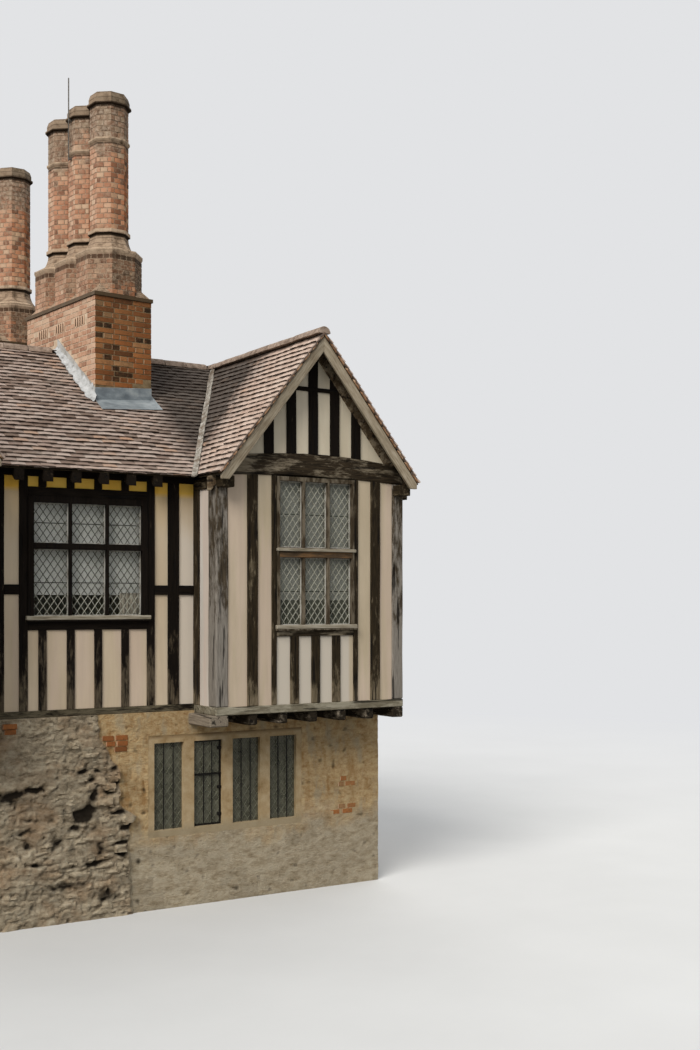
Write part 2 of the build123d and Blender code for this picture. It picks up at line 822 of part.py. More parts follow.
with BuildPart() as hall_rafters:
    section = rafter_section(hall_under, hall_eaves_y - rafter_feet_back, hall_rise, hall_lean)
    for middle in spread(hall_apron_shift, hall_apron_step, hall_rafter_count):
        prism_along_x([(-run, level) for run, level in section], around(middle, rafter_width))
    front_and_back()
    cut_out(hall_rails, rear_brickwork)
    block((stack_box.min.X - trimmer_gap, stack_box.max.X + trimmer_gap),
          (stack_box.min.Y - trimmer_gap, stack_box.max.Y + trimmer_gap), (0, ridge_height), Mode.SUBTRACT)

# Barge boards close the verges, just under the tiles' edge
barge_thick = 40
barge_depth = 118
barge_set_back = 20
barge_run = 1345
barge_foot_drop = 95

with BuildPart() as barge_boards:
    barge_y = (-verge_y + barge_set_back, -verge_y + barge_set_back + barge_thick)
    drop = barge_depth / wing_lean
    head = wing_under - plumb_gap * wing_rise
    foot = wing_under - barge_run * wing_rise
    cut_level = eaves_height - barge_foot_drop
    for side in (-1, 1):
        near = wing_mid + side * plumb_gap
        far = wing_mid + side * barge_run
        prism_along_y([(near, head), (near, head - drop), (far, foot - drop), (far, foot)], barge_y)
    block((0, house_half + wing_width), barge_y, (0, cut_level), Mode.SUBTRACT)
    four_corners()
    cut_out(wall_plates)

# Lightning rod clipped to the middle shaft
rod_across = 16
rod_below_collar = 120
rod_above_cap = 375
clip_width = 30
clip_step = 520

rod_foot = stack_top + collar_height - rod_below_collar
rod_top = stack_top + shaft_height + rod_above_cap
rod_across_stack = (stack_width - roll_across - rod_across) / 2

with BuildPart() as lightning_rod:
    with Locations(stack_place):
        with Locations((rod_across_stack, shaft_along[1], (rod_foot + rod_top) / 2)):
            Cylinder(rod_across / 2, rod_top - rod_foot)
        for level in (rod_foot + clip_width, rod_foot + clip_step):
            block((rod_across_stack, (stack_width - shaft_across) / 2), around(shaft_along[1], clip_width),
                  around(level, clip_width))
    cut_out(chimney_shafts, chimney_caps)

pieces = {
    "stone_wall_front": stone_wall_front,
    "stone_wall_back": stone_wall_back,
    "stone_wall_left": stone_wall_left,
    "stone_wall_right": stone_wall_right,
    "stone_window_surrounds": stone_window_surrounds,
    "iron_casements": iron_casements,
    "stone_window_glass": stone_window_glass,
    "jetty_joists": jetty_joists,
    "upper_floor": upper_floor,
    "bressummers": bressummers,
    "side_sills": side_sills,
    "wall_plates": wall_plates,
    "corner_posts": corner_posts,
    "wing_studs": wing_studs,
    "wing_windows": wing_windows,
    "tie_beams": tie_beams,
    "gable_collars": gable_collars,
    "gable_studs": gable_studs,
    "wing_plaster": wing_plaster,
    "gable_plaster": gable_plaster,
    "side_studs": side_studs,
    "wing_rails": wing_rails,
    "side_plaster": side_plaster,
    "hall_posts": hall_posts,
    "hall_rails": hall_rails,
    "hall_windows": hall_windows,
    "hall_plaster": hall_plaster,
    "leaded_glass": leaded_glass,
    "window_blinds": window_blinds,
    "hall_slope_front": hall_slope_front,
    "hall_slope_back": hall_slope_back,
    "right_outer_slope": right_outer_slope,
    "left_outer_slope": left_outer_slope,
    "right_inner_slopes": right_inner_slopes,
    "left_inner_slopes": left_inner_slopes,
    "ridge_tiles": ridge_tiles,
    "stack_flashing": stack_flashing,
    "wing_rafters": wing_rafters,
    "hall_rafters": hall_rafters,
    "barge_boards": barge_boards,
    "chimney_stack": chimney_stack,
    "rear_stack": rear_stack,
    "chimney_shafts": chimney_shafts,
    "chimney_caps": chimney_caps,
    "lightning_rod": lightning_rod,
}

for name, piece in pieces.items():
    piece.part.label = name
    export_step(piece.part, f"parts/{name}.step")
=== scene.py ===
import bpy
import math
import random
import numpy as np
from contextlib import contextmanager
from mathutils import Matrix, Vector, noise


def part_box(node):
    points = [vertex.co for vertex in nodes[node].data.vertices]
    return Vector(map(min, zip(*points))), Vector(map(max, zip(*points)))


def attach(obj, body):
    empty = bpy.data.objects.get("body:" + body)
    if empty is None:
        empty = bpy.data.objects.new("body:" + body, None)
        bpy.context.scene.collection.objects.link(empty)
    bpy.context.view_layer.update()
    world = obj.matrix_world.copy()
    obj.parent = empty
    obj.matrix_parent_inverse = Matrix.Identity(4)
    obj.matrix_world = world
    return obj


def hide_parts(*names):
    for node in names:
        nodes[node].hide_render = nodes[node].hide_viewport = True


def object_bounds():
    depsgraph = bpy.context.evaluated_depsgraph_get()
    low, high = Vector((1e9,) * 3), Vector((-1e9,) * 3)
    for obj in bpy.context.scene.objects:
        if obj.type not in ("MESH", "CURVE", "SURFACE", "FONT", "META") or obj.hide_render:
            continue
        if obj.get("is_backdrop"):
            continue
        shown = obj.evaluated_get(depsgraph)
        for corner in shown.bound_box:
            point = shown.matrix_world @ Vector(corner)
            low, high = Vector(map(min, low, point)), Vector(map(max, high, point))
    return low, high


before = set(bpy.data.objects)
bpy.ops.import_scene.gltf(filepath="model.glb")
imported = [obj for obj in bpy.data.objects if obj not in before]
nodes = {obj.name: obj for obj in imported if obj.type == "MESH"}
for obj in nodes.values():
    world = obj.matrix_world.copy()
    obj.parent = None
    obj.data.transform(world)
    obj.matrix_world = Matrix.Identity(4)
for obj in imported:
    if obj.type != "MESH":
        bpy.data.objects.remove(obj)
cad_low, cad_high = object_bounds()
east, north, up = Vector((1, 0, 0)), Vector((0, 1, 0)), Vector((0, 0, 1))

# Studio: a pale floor that fades into a pale grey backdrop, a wide soft sun from the left front with
# a weaker one from behind, and a level camera in front of the left corner.
eye = (-5.35, -16.148, 3.6)
look_turn = 32.3
lens_length = 44.57
rise_of_view = 0.0714
backdrop = (226, 227, 229)
floor_size = 240
fade_from, fade_to = 9, 26


def colour(red, green, blue):
    """A colour as a screen shows it, from 0 to 255, for a shader."""
    steps = [value / 255 for value in (red, green, blue)]
    return tuple(((s + 0.055) / 1.055) ** 2.4 if s > 0.04045 else s / 12.92 for s in steps) + (1.0,)


class Steps:
    """The steps of one shader; each takes numbers, screen colours or earlier steps."""

    def __init__(self, tree):
        self.tree = tree

    def feed(self, socket, value):
        if isinstance(value, (int, float)):
            socket.default_value = value
        elif isinstance(value, tuple):
            socket.default_value = colour(*value)
        else:
            self.tree.links.new(getattr(value, "socket", value), socket)

    def step(self, kind, output, inputs, **settings):
        """Add a node, feed its inputs, and return one of its outputs."""
        made = self.tree.nodes.new(kind)
        for key, value in settings.items():
            setattr(made, key, value)
        for key, value in inputs.items():
            self.feed(made.inputs[key], value)
        return Value(self, made.outputs[output])

    def blend(self, share, first, second, way="MIX"):
        return self.step("ShaderNodeMix", 2, {0: share, 6: first, 7: second},
                         data_type="RGBA", blend_type=way)


class Value:
    """A number or a colour that a surface has at each of its points."""

    def __init__(self, steps, socket):
        self.steps = steps
        self.socket = socket

    def math(self, operation, other=0.0):
        return self.steps.step("ShaderNodeMath", "Value", {0: self, 1: other}, operation=operation)

    def __add__(self, other):
        return self.math("ADD", other)

    def __sub__(self, other):
        return self.math("SUBTRACT", other)

    def __rsub__(self, other):
        return self.steps.step("ShaderNodeMath", "Value", {0: other, 1: self}, operation="SUBTRACT")

    def __mul__(self, other):
        return self.math("MULTIPLY", other)

    def __abs__(self):
        return self.math("ABSOLUTE")

    def most(self, other):
        """The larger of two numbers."""
        return self.math("MAXIMUM", other)

    def spread(self, low, high, start=0.0, end=1.0):
        """The range from low to high turned into another, and held at its ends."""
        return self.steps.step("ShaderNodeMapRange", "Result", {
            "Value": self, "From Min": low, "From Max": high, "To Min": start, "To Max": end})

    def ramp(self, *stops):
        """A colour for each number, from stops of a place and a screen colour."""
        bar = self.steps.step("ShaderNodeValToRGB", "Color", {"Fac": self})
        elements = bar.socket.node.color_ramp.elements
        while len(elements) < len(stops):
            elements.new(0.5)
        for element, (place, *tint) in zip(elements, stops):
            element.position = place
            element.color = colour(*tint)
        return bar

    def mix(self, first, second):
        """The first colour where this is nought, and the second where it is one."""
        return self.steps.blend(self, first, second)

    def shade(self, number, low, high):
        """This colour darkened or lightened by a number from 0 to 1."""
        parts = dict.fromkeys(("Red", "Green", "Blue"), number.spread(0, 1, low, high))
        grey = self.steps.step("ShaderNodeCombineColor", "Color", parts)
        return self.steps.blend(1.0, self, grey, "MULTIPLY")


class Finish(Steps):
    """A surface put together step by step on a piece's own object coordinates."""

    def __init__(self, name, roughness=0.85, metallic=0.0, shine=0.12):
        self.material = bpy.data.materials.new(name)
        self.material.use_nodes = True
        super().__init__(self.material.node_tree)
        self.shader = self.tree.nodes["Principled BSDF"]
        for key, amount in (("Roughness", roughness), ("Metallic", metallic), ("Specular IOR Level", shine)):
            self.shader.inputs[key].default_value = amount
        guide = self.tree.nodes.new("ShaderNodeTexCoord")
        self.place, self.normal = guide.outputs["Object"], guide.outputs["Normal"]

    def noise(self, size, stretch=(1, 1, 1), detail=5, rough=0.6, shift=0.0):
        """Cloudy numbers from 0 to 1; size is how wide a patch is, in metres."""
        mapping = self.tree.nodes.new("ShaderNodeMapping")
        mapping.inputs["Scale"].default_value = [1 / part for part in stretch]
        mapping.inputs["Location"].default_value = (shift, shift, shift)
        self.feed(mapping.inputs["Vector"], self.place)
        return self.step("ShaderNodeTexNoise", "Fac", {
            "Vector": mapping.outputs["Vector"], "Scale": 1 / size, "Detail": detail, "Roughness": rough})

    def axis(self, letter):
        """One of the piece's own coordinates, in metres."""
        return self.step("ShaderNodeSeparateXYZ", letter, {"Vector": self.place})

    def facing(self, letter):
        """How far the surface faces along one axis, from -1 to 1."""
        return self.step("ShaderNodeSeparateXYZ", letter, {"Vector": self.normal})

    def tone(self, name="tone"):
        """A number that each laid brick, tile or stone carries."""
        return self.step("ShaderNodeAttribute", "Fac", {}, attribute_name=name)

    def relief(self, height, depth):
        """Bump of a real depth in metres."""
        bump = self.step("ShaderNodeBump", "Normal", {"Distance": depth, "Height": height})
        self.feed(self.shader.inputs["Normal"], bump)

    def paint(self, tint):
        self.feed(self.shader.inputs["Base Color"], tint)
        return self.material


def cloudy(name, surface, depth, cloud, *stops, grain=None):
    """A plain finish: one cloud gives its colours and, without a finer grain, its relief too."""
    finish = Finish(name, *surface)
    tones = finish.noise(**cloud)
    finish.relief(finish.noise(**grain) if grain else tones, depth)
    return finish.paint(tones.ramp(*stops))


def coat(piece, material):
    """Give a piece or a CAD node one finish all over."""
    piece.data.materials.clear()
    piece.data.materials.append(material)


ground = Finish("studio_floor", 0.95)
seen = ground.step("ShaderNodeLightPath", "Is Camera Ray", {})
shown = ground.noise(3.0).ramp((0.3, 206, 206, 205), (0.7, 212, 212, 211))
ground.paint(seen.mix((132, 130, 125), shown))
glow = ground.step("ShaderNodeEmission", "Emission", {"Color": backdrop})
away = ground.step("ShaderNodeVectorMath", "Value", {0: ground.place}, operation="LENGTH")
fade = ground.step("ShaderNodeMixShader", "Shader", {
    0: away.spread(fade_from, fade_to) * seen, 1: ground.shader.outputs["BSDF"], 2: glow})
ground.feed(ground.tree.nodes["Material Output"].inputs["Surface"], fade)
bpy.ops.mesh.primitive_plane_add(size=floor_size, location=(0, 0, 0))
floor = bpy.context.object
floor.name = "studio_floor"
coat(floor, ground.material)
floor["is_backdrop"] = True

world = bpy.data.worlds.new("studio_sky")
bpy.context.scene.world = world
world.use_nodes = True
sky = Steps(world.node_tree)
daylight = sky.tree.nodes["Background"]
daylight.inputs["Color"].default_value = (0.93, 0.965, 1.0, 1)
daylight.inputs["Strength"].default_value = 0.6
pale = sky.step("ShaderNodeBackground", "Background", {"Color": backdrop})
straight = sky.step("ShaderNodeLightPath", "Is Camera Ray", {})
through = sky.step("ShaderNodeLightPath", "Is Transmission Ray", {})
choose = sky.step("ShaderNodeMixShader", "Shader", {
    0: straight.most(through), 1: daylight.outputs["Background"], 2: pale})
sky.feed(sky.tree.nodes["World Output"].inputs["Surface"], choose)


def sun(name, comes_from, strength, width, tint):
    """A wide soft light from far off."""
    lamp = bpy.data.lights.new(name, "SUN")
    lamp.energy = strength
    lamp.angle = math.radians(width)
    lamp.color = tint
    holder = bpy.data.objects.new(name, lamp)
    bpy.context.scene.collection.objects.link(holder)
    holder.rotation_euler = Vector(comes_from).to_track_quat("Z", "Y").to_euler()


sun("key_light", (-0.8, -0.55, 0.8), 2.7, 30, (1.0, 0.97, 0.92))
sun("back_light", (0.7, 0.8, 0.9), 0.8, 60, (1.0, 0.98, 0.96))

camera = bpy.data.cameras.new("view")
camera.lens = lens_length
camera.sensor_width = 36
camera.shift_y = rise_of_view
camera.clip_end = 300
viewer = bpy.data.objects.new("view", camera)
viewer.location = eye
viewer.rotation_euler = (math.radians(90), 0, -math.radians(look_turn))
bpy.context.scene.collection.objects.link(viewer)
bpy.context.scene.camera = viewer
bpy.context.scene.view_settings.view_transform = "Standard"

# Ground storey walls: ironstone and rubble in lime mortar, 0.4 m thick. The hall's front is the scar
# of a wall that was taken down, thin-bedded, hollowed and grey. The rest is squared ochre stone,
# flushed over with mortar.
scar_proud = 0.085
scar_step = 0.0155
plain_step = 0.034
skin_bed = 0.03
bed_height = 0.058
bed_length = 0.16
block_height = 0.19
block_length = 0.42
block_joint = 0.02
# The scar's right edge as (level, x). Its hollows, dented and painted near black as shade, as (x, level, half
# width, half height, depth), the teeth that stand out as (x, level, half width, half height), and a round
# boss in the same way.
scar_edge = ((0.0, 0.50), (0.79, 0.467), (0.96, 0.49), (1.12, 0.55), (1.25, 0.38), (1.49, 0.34),
             (1.62, 0.40), (1.78, 0.27), (2.01, 0.13), (2.3, 0.08))
hollows = ((-0.046, 1.197, 0.149, 0.093, 1.0), (0.033, 1.379, 0.055, 0.068, 0.8),
           (-0.109, 1.66, 0.087, 0.03, 0.8), (-0.187, 1.075, 0.071, 0.042, 0.7),
           (-0.372, 0.9, 0.071, 0.075, 0.6), (-0.885, 1.467, 0.189, 0.045, 0.9),
           (-0.646, 1.507, 0.094, 0.027, 0.95), (0.313, 1.189, 0.094, 0.024, 0.9),
           (0.451, 1.008, 0.094, 0.042, 0.95), (0.386, 1.522, 0.066, 0.03, 0.9),
           (0.305, 1.711, 0.044, 0.024, 0.7), (-0.714, 1.165, 0.094, 0.021, 0.6),
           (-0.736, 1.038, 0.094, 0.016, 0.6), (-0.721, 0.902, 0.047, 0.03, 0.6),
           (-0.616, 0.674, 0.079, 0.021, 0.7), (0.097, 1.645, 0.06, 0.021, 0.7),
           (0.248, 1.442, 0.079, 0.02, 0.7), (0.001, 1.527, 0.053, 0.02, 0.7),
           (0.378, 0.703, 0.079, 0.026, 0.9), (0.37, 0.813, 0.142, 0.021, 0.6),
           (0.033, 0.641, 0.142, 0.03, 0.9), (-0.3, 0.4, 0.2, 0.05, 0.6), (0.2, 0.25, 0.15, 0.06, 0.6))
toothing = ((0.394, 1.616, 0.063, 0.053), (0.265, 1.481, 0.063, 0.034), (0.184, 1.344, 0.094, 0.056),
            (0.467, 1.083, 0.087, 0.045), (0.37, 0.757, 0.071, 0.041), (-0.171, 1.956, 0.047, 0.03))
boss = (-0.03, 0.805, 0.165, 0.15)
# Vector noise starts from the clock unless it is seeded.
noise.seed_set(7)


def only(piece):
    """Make one piece the selected and active one."""
    bpy.ops.object.select_all(action="DESELECT")
    piece.select_set(True)
    bpy.context.view_layer.objects.active = piece


@contextmanager
def editing(piece):
    """Edit a piece with all of it selected."""
    only(piece)
    bpy.ops.object.mode_set(mode="EDIT")
    bpy.ops.mesh.select_all(action="SELECT")
    yield
    bpy.ops.object.mode_set(mode="OBJECT")


def apply_all(piece):
    """Apply every modifier of a piece."""
    only(piece)
    for modifier in list(piece.modifiers):
        bpy.ops.object.modifier_apply(modifier=modifier.name)


def smooth(piece, degrees):
    """Shade a piece smooth but for the edges that are sharper."""
    only(piece)
    bpy.ops.object.shade_smooth_by_angle(angle=math.radians(degrees))


def grid(name, columns, rows):
    """A flat grid of so many faces, one metre square about the origin."""
    bpy.ops.object.select_all(action="DESELECT")
    bpy.ops.mesh.primitive_grid_add(x_subdivisions=columns, y_subdivisions=rows, size=1)
    piece = bpy.context.object
    piece.name = name
    return piece


def keep_numbers(piece, label, values):
    """Store one number on every point of a piece."""
    store = piece.data.attributes.new(label, "FLOAT", "POINT")
    store.data.foreach_set("value", np.asarray(values, dtype=np.float32))


def ready(piece, material, slot, *replaced):
    """Finish a piece: its coat, its body and the nodes that it stands for. The slot is not used."""
    coat(piece, material)
    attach(piece, "root")
    if replaced:
        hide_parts(*replaced)
    return piece


def stations(breaks, step):
    """Nearly even stations that meet every break."""
    made = []
    for first, last in zip(breaks, breaks[1:]):
        count = max(1, round((last - first) / step))
        made += [first + (last - first) * place / count for place in range(count)]
    return made + [breaks[-1]]


def held(number):
    """A number kept from 0 to 1."""
    return min(1.0, max(0.0, number))


def hash_of(point):
    """A steady number from 0 to 1 for one stone."""
    return (math.sin(point[0] * 127.1 + point[2] * 311.7 + point[1] * 74.7) * 43758.5453) % 1.0


def rubble(spot):
    """Height, tone, hollow and warmth of the decayed wall at one place of its face."""
    sway = noise.noise_vector(spot * 4) * 0.04 + noise.noise_vector(spot * 15) * 0.014
    place = Vector(((spot.x + sway.x) / bed_length, 0, (spot.z + sway.z) / bed_height))
    gaps, stones = noise.voronoi(place)
    own = hash_of(stones[0])
    joint = min(1.0, (gaps[1] - gaps[0]) / 0.3)
    joint = 1 - (1 - joint) * min(1.0, max(0.15, 0.5 + 1.5 * noise.noise(spot * 2.7 + Vector((2, 8, 1)))))
    x, z = spot.x + 1.3 * sway.x, spot.z + 1.3 * sway.z
    chips = noise.noise(spot * 13 + Vector((6, 0, 2))) + 0.6 * noise.noise(spot * 31)
    hollow = 0.0
    for middle, level, wide, high, deep in hollows:
        away = ((x - middle) / wide) ** 2 + ((z - level) / high) ** 2
        hollow = max(hollow, deep * math.exp(-max(0.0, away * (1 + 0.9 * chips) - 0.15)))
    ring = math.hypot((x - boss[0]) / boss[2], (z - boss[1]) / boss[3])
    broken = held(0.45 + 1.6 * noise.noise(spot * 5 + Vector((0, 3, 0))))
    hollow = max(hollow, 0.8 * broken * math.exp(-((ring - 1) / 0.3) ** 2))
    crumbs = noise.noise(spot * 17 + Vector((1, 4, 9)))
    hollow = min(1.0, hollow + 0.7 * max(0.0, crumbs - 0.22) + 0.5 * max(0.0, noise.noise(spot * 5.5) - 0.3))
    stand = scar_proud * (0.62 + 0.4 * noise.noise(spot * 1.9)) + 0.022 * (own - 0.5)
    crumb = 0.010 * noise.noise(spot * 24) + 0.007 * noise.noise(spot * 50)
    height = (stand - 0.016 * (1 - joint)) * (1 - 0.95 * hollow) + crumb
    for middle, level, wide, high in toothing:
        if abs(x - middle) < wide and abs(z - level) < high:
            height, own, hollow = stand + 0.03 + 0.4 * crumb, 1.0, 0.0
    return max(height, 0.002), own, min(1.0, hollow + 0.22 * (1 - joint)), 0.1 + 0.2 * own


def squared(spot):
    """The same for the squared and flushed stone."""
    drift = 0.1 * noise.noise(spot * 0.7)
    course = math.floor(spot.z / block_height + drift)
    place = spot.x / block_length + spot.y / block_length + 0.37 * course + 0.15 * noise.noise(spot * 2)
    side = place - math.floor(place)
    bed = spot.z / block_height + drift - course
    aside, above = min(side, 1 - side) * block_length, min(bed, 1 - bed) * block_height
    joint = min(1.0, aside / block_joint, above / block_joint)
    own = hash_of((math.floor(place), 1.0, course))
    flushed = held(0.6 + 1.6 * noise.noise(spot * 1.1 + Vector((9, 2, 4))))
    joint = 1 - (1 - joint) * (1 - flushed)
    height = 0.008 + 0.006 * noise.noise(spot * 6) + 0.004 * noise.noise(spot * 27) - 0.004 * (1 - joint)
    pit = max(0.0, noise.noise(spot * 11 + Vector((3, 1, 7))) - 0.34)
    own = own * (1 - 0.5 * flushed) + 0.25 * flushed
    return max(0.001, height - 0.02 * pit), own, 0.3 * (1 - joint) + 1.3 * pit, 0.85


def hall_front(spot):
    """The scar runs out raggedly towards the stone window."""
    edge = np.interp(spot.z, *zip(*scar_edge)) + 0.035 * noise.noise(Vector((spot.x, 0, spot.z * 9)))
    share = held((edge - spot.x) / 0.06 + 0.5)
    share = share * share * (3 - 2 * share)
    return tuple(a * share + b * (1 - share) for a, b in zip(rubble(spot), squared(spot)))


def wall_skin(name, start, along, breaks, levels, holes, face, step):
    """The face of one wall as a closed relief, with its window left open."""
    outward = along.cross(up)
    columns, rows = stations(breaks, step), stations(levels, step)
    skin = grid(name, len(columns) - 1, len(rows) - 1)
    notes = []
    for vertex in skin.data.vertices:
        column = round((vertex.co.x + 0.5) * (len(columns) - 1))
        row = round((vertex.co.y + 0.5) * (len(rows) - 1))
        spot = start + along * columns[column] + up * rows[row]
        height, *marks = face(spot)
        vertex.co = spot + outward * height
        notes.append(marks)
    for label, numbers in zip(("tone", "hollow", "warmth"), zip(*notes)):
        keep_numbers(skin, label, numbers)
    for polygon in skin.data.polygons:
        reach = (polygon.center - start).dot(along)
        polygon.select = any(h[0] < reach < h[1] and h[2] < polygon.center.z < h[3] for h in holes)
    bpy.context.tool_settings.mesh_select_mode = (False, False, True)
    bpy.ops.object.mode_set(mode="EDIT")
    if holes:
        bpy.ops.mesh.delete(type="FACE")
    bpy.ops.mesh.select_mode(type="EDGE")
    bpy.ops.mesh.select_all(action="DESELECT")
    bpy.ops.mesh.select_non_manifold(extend=False)
    bpy.ops.mesh.extrude_edges_move(TRANSFORM_OT_translate={"value": tuple(-outward * skin_bed)})
    bpy.ops.object.mode_set(mode="OBJECT")
    for vertex in skin.data.vertices:
        if vertex.select:
            vertex.co -= outward * ((vertex.co - start).dot(outward) + skin_bed)
    bpy.ops.object.mode_set(mode="EDIT")
    bpy.ops.mesh.fill(use_beauty=False)
    bpy.ops.mesh.select_all(action="SELECT")
    bpy.ops.mesh.normals_make_consistent(inside=False)
    bpy.ops.object.mode_set(mode="OBJECT")
    smooth(skin, 40)
    return skin


stone = Finish("rubble_and_ironstone", 0.93)
broad = stone.noise(0.45)
mottle = stone.noise(0.07, (1.3, 1.3, 0.8), detail=9, rough=0.72)
grit = stone.noise(0.012, detail=6)
fleck = stone.noise(0.03, (1.6, 1.6, 0.7), detail=9, rough=0.75, shift=5.0)
streak = stone.noise(0.16, (1, 1, 3), detail=7, rough=0.65, shift=7.0)
washed = stone.noise(0.11, (1.4, 1.4, 0.7), detail=8, rough=0.7, shift=3.0)
grey = mottle.ramp((0.3, 108, 95, 77), (0.42, 144, 130, 108), (0.54, 168, 154, 131), (0.68, 184, 172, 150),
                   (0.8, 148, 144, 128))
earthy = broad.spread(0.48, 0.62, 0, 0.5).mix(grey, (136, 106, 76))
ochre = mottle.ramp((0.3, 134, 103, 66), (0.42, 168, 138, 98), (0.55, 188, 162, 121), (0.7, 196, 174, 138))
stained = streak.spread(0.52, 0.64, 0, 0.6).mix(ochre, (146, 106, 58))
greyed = streak.spread(0.47, 0.36, 0, 0.6).mix(stained, (164, 152, 128))
low_down = stone.axis("Z") + broad.spread(0, 1, -0.5, 0.5)
bleached = low_down.spread(1.05, 0.72, 0, 0.9).mix(greyed, washed.ramp(
    (0.3, 120, 106, 84), (0.44, 160, 147, 124), (0.58, 182, 170, 148), (0.72, 150, 140, 120)))
warm = stone.tone("warmth") + mottle.spread(0.3, 0.7, -0.15, 0.15)
toned = warm.spread(0.35, 0.6).mix(earthy, bleached).shade(stone.tone(), 0.82, 1.1)
flecked = fleck.spread(0.42, 0.32, 0, 0.55).mix(toned, (82, 66, 45))
stone.relief(mottle + fleck + grit * 0.5, 0.014)
# The hollow number darkens the stone to near black: painted shade in the hollows and pits, and the stone's
# own darker joints.
stone.paint(stone.tone("hollow").spread(0.15, 0.7, 0, 0.97).mix(flecked, (24, 18, 12)))

house_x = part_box("stone_wall_front")[1].x
wall_face = -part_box("stone_wall_front")[0].y
wall_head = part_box("stone_wall_right")[1].z
hall_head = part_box("stone_wall_front")[1].z
hall_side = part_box("hall_plaster")[1].x
window_low, window_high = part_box("stone_window_surrounds")
stone_mid = (house_x + hall_side) / 2
surround_half = window_high.x - stone_mid
near_window = 1.74
rear_low, rear_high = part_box("rear_stack")


def window_gap(middle):
    """A stone window's place in the front wall's own run, from the wall's left end."""
    return (house_x + middle - surround_half, house_x + middle + surround_half, window_low.z, window_high.z)


left_gap, right_gap, other_gap = window_gap(-stone_mid), window_gap(near_window), window_gap(stone_mid)
stack_gap = (house_x - rear_high.x, house_x - rear_low.x, -1.0, 9.0)
scar_from = house_x - hall_side
window_levels = [0.0, window_low.z, window_high.z, wall_head]
front_start = Vector((-house_x, -wall_face, 0))
side_run, side_levels = [0, 2 * wall_face], [0, wall_head]
for name, start, along, breaks, levels, holes, face, step in (
        ("scar", front_start, east, [scar_from, right_gap[0]], [0.0, hall_head], [], hall_front, scar_step),
        ("front_left", front_start, east, [0, left_gap[0], left_gap[1], scar_from], window_levels, [left_gap],
         squared, plain_step),
        ("front_right", front_start, east, [right_gap[0], right_gap[1], 2 * house_x], window_levels,
         [right_gap], squared, plain_step * 0.7),
        ("under_sill", front_start, east, [right_gap[0], scar_from + 2 * hall_side], [wall_head, hall_head],
         [], squared, plain_step),
        ("right", Vector((house_x, -wall_face, 0)), north, side_run, side_levels, [], squared, plain_step),
        ("left", Vector((-house_x, wall_face, 0)), -north, side_run, side_levels, [], squared, plain_step),
        ("back", Vector((house_x, wall_face, 0)), -east,
         [0, left_gap[0], left_gap[1], stack_gap[0], stack_gap[1], other_gap[0], other_gap[1], 2 * house_x],
         window_levels, [left_gap, other_gap, stack_gap], squared, plain_step)):
    skin = wall_skin("stones_" + name, start, along, breaks, levels, holes, face, step)
    ready(skin, stone.material, "stone")
mortar = cloudy("lime_mortar", (0.95,), 0.004, {"size": 0.09, "detail": 8},
                (0.3, 140, 122, 94), (0.7, 178, 158, 124), grain={"size": 0.012, "detail": 6})
for name in ("stone_wall_front", "stone_wall_back", "stone_wall_left", "stone_wall_right"):
    coat(nodes[name], mortar)

# Timbers: hewn oak, stained black where it is sheltered and bleached to silver where rain reaches.
# The long edges are worn and nothing is quite straight.
wing_pitch = math.radians(51.5)
wing_mid = (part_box("corner_posts")[1].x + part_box("hall_plaster")[1].x) / 2
wing_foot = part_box("bressummers")[1].z
black_tints = ((7, 4, 2), (24, 17, 11), (58, 48, 36), (104, 93, 76))
brown_tints = ((16, 11, 6), (54, 44, 29), (80, 69, 51), (126, 113, 92))


def oak(name, grain, tints, worn, bleach=None, pale_end=None):
    """Old oak with its grain along one axis; below the bleach level and past the pale end it is bare."""
    finish = Finish(name, 0.84)
    long, short = [[more if letter == grain else 1 for letter in "XYZ"] for more in (14, 4)]
    fibre = finish.noise(0.014, long, detail=7, rough=0.68)
    split = finish.noise(0.045, long, detail=4, rough=0.5, shift=3.0)
    wear = finish.noise(0.09, short, detail=9, rough=0.74, shift=9.0)
    dark = fibre.ramp((0.3, *tints[0]), (0.62, *tints[1]))
    bare = fibre.ramp((0.3, *tints[2]), (0.66, *tints[3]))
    if bleach:
        wear = wear + finish.axis("Z").spread(*bleach, 0, 0.32)
    if pale_end:
        wear = wear + finish.axis("X").spread(*pale_end, 0, 0.3)
    tint = wear.spread(worn - 0.03, worn + 0.09).mix(dark, bare)
    cracks = split.spread(0.36, 0.41, 1, 0)
    finish.relief(fibre - cracks, 0.006)
    return finish.paint((cracks * 0.8).mix(tint, (14, 11, 10)))


def copy_of(node, name):
    """A copy of a CAD piece with its flat faces joined up."""
    piece = nodes[node].copy()
    piece.data = nodes[node].data.copy()
    piece.name = name
    bpy.context.scene.collection.objects.link(piece)
    with editing(piece):
        bpy.ops.mesh.remove_doubles(threshold=0.00002)
        bpy.ops.mesh.dissolve_limited(angle_limit=math.radians(0.5))
    return piece


def wear_edges(piece, width, sharpest=30):
    """Take off the edges that turn by more than an angle in degrees."""
    rounding = piece.modifiers.new("edge", "BEVEL")
    rounding.width = width
    rounding.segments = 1
    rounding.limit_method = "ANGLE"
    rounding.angle_limit = math.radians(sharpest)
    apply_all(piece)


def worn_copy(node, material, slot, grain="Z", wobble=0.004, edge=0.007, step=0.28):
    """Stand a worn copy of a CAD piece in its place, a little out of true along its length."""
    piece = copy_of(node, "worn_" + node)
    number = "XYZ".index(grain)
    low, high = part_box(node)
    station = low[number] + step
    with editing(piece):
        while station < high[number] - 0.05:
            bpy.ops.mesh.select_all(action="SELECT")
            point, normal = [0, 0, 0], [0, 0, 0]
            point[number], normal[number] = station, 1
            bpy.ops.mesh.bisect(plane_co=point, plane_no=normal)
            station += step
    for vertex in piece.data.vertices:
        shift = noise.noise_vector(vertex.co / 0.5 + Vector((3.1, 7.7, 1.3))) * wobble
        shift[number] = 0.0
        vertex.co += shift
    wear_edges(piece, edge, 50)
    smooth(piece, 30)
    return ready(piece, material, slot, node)


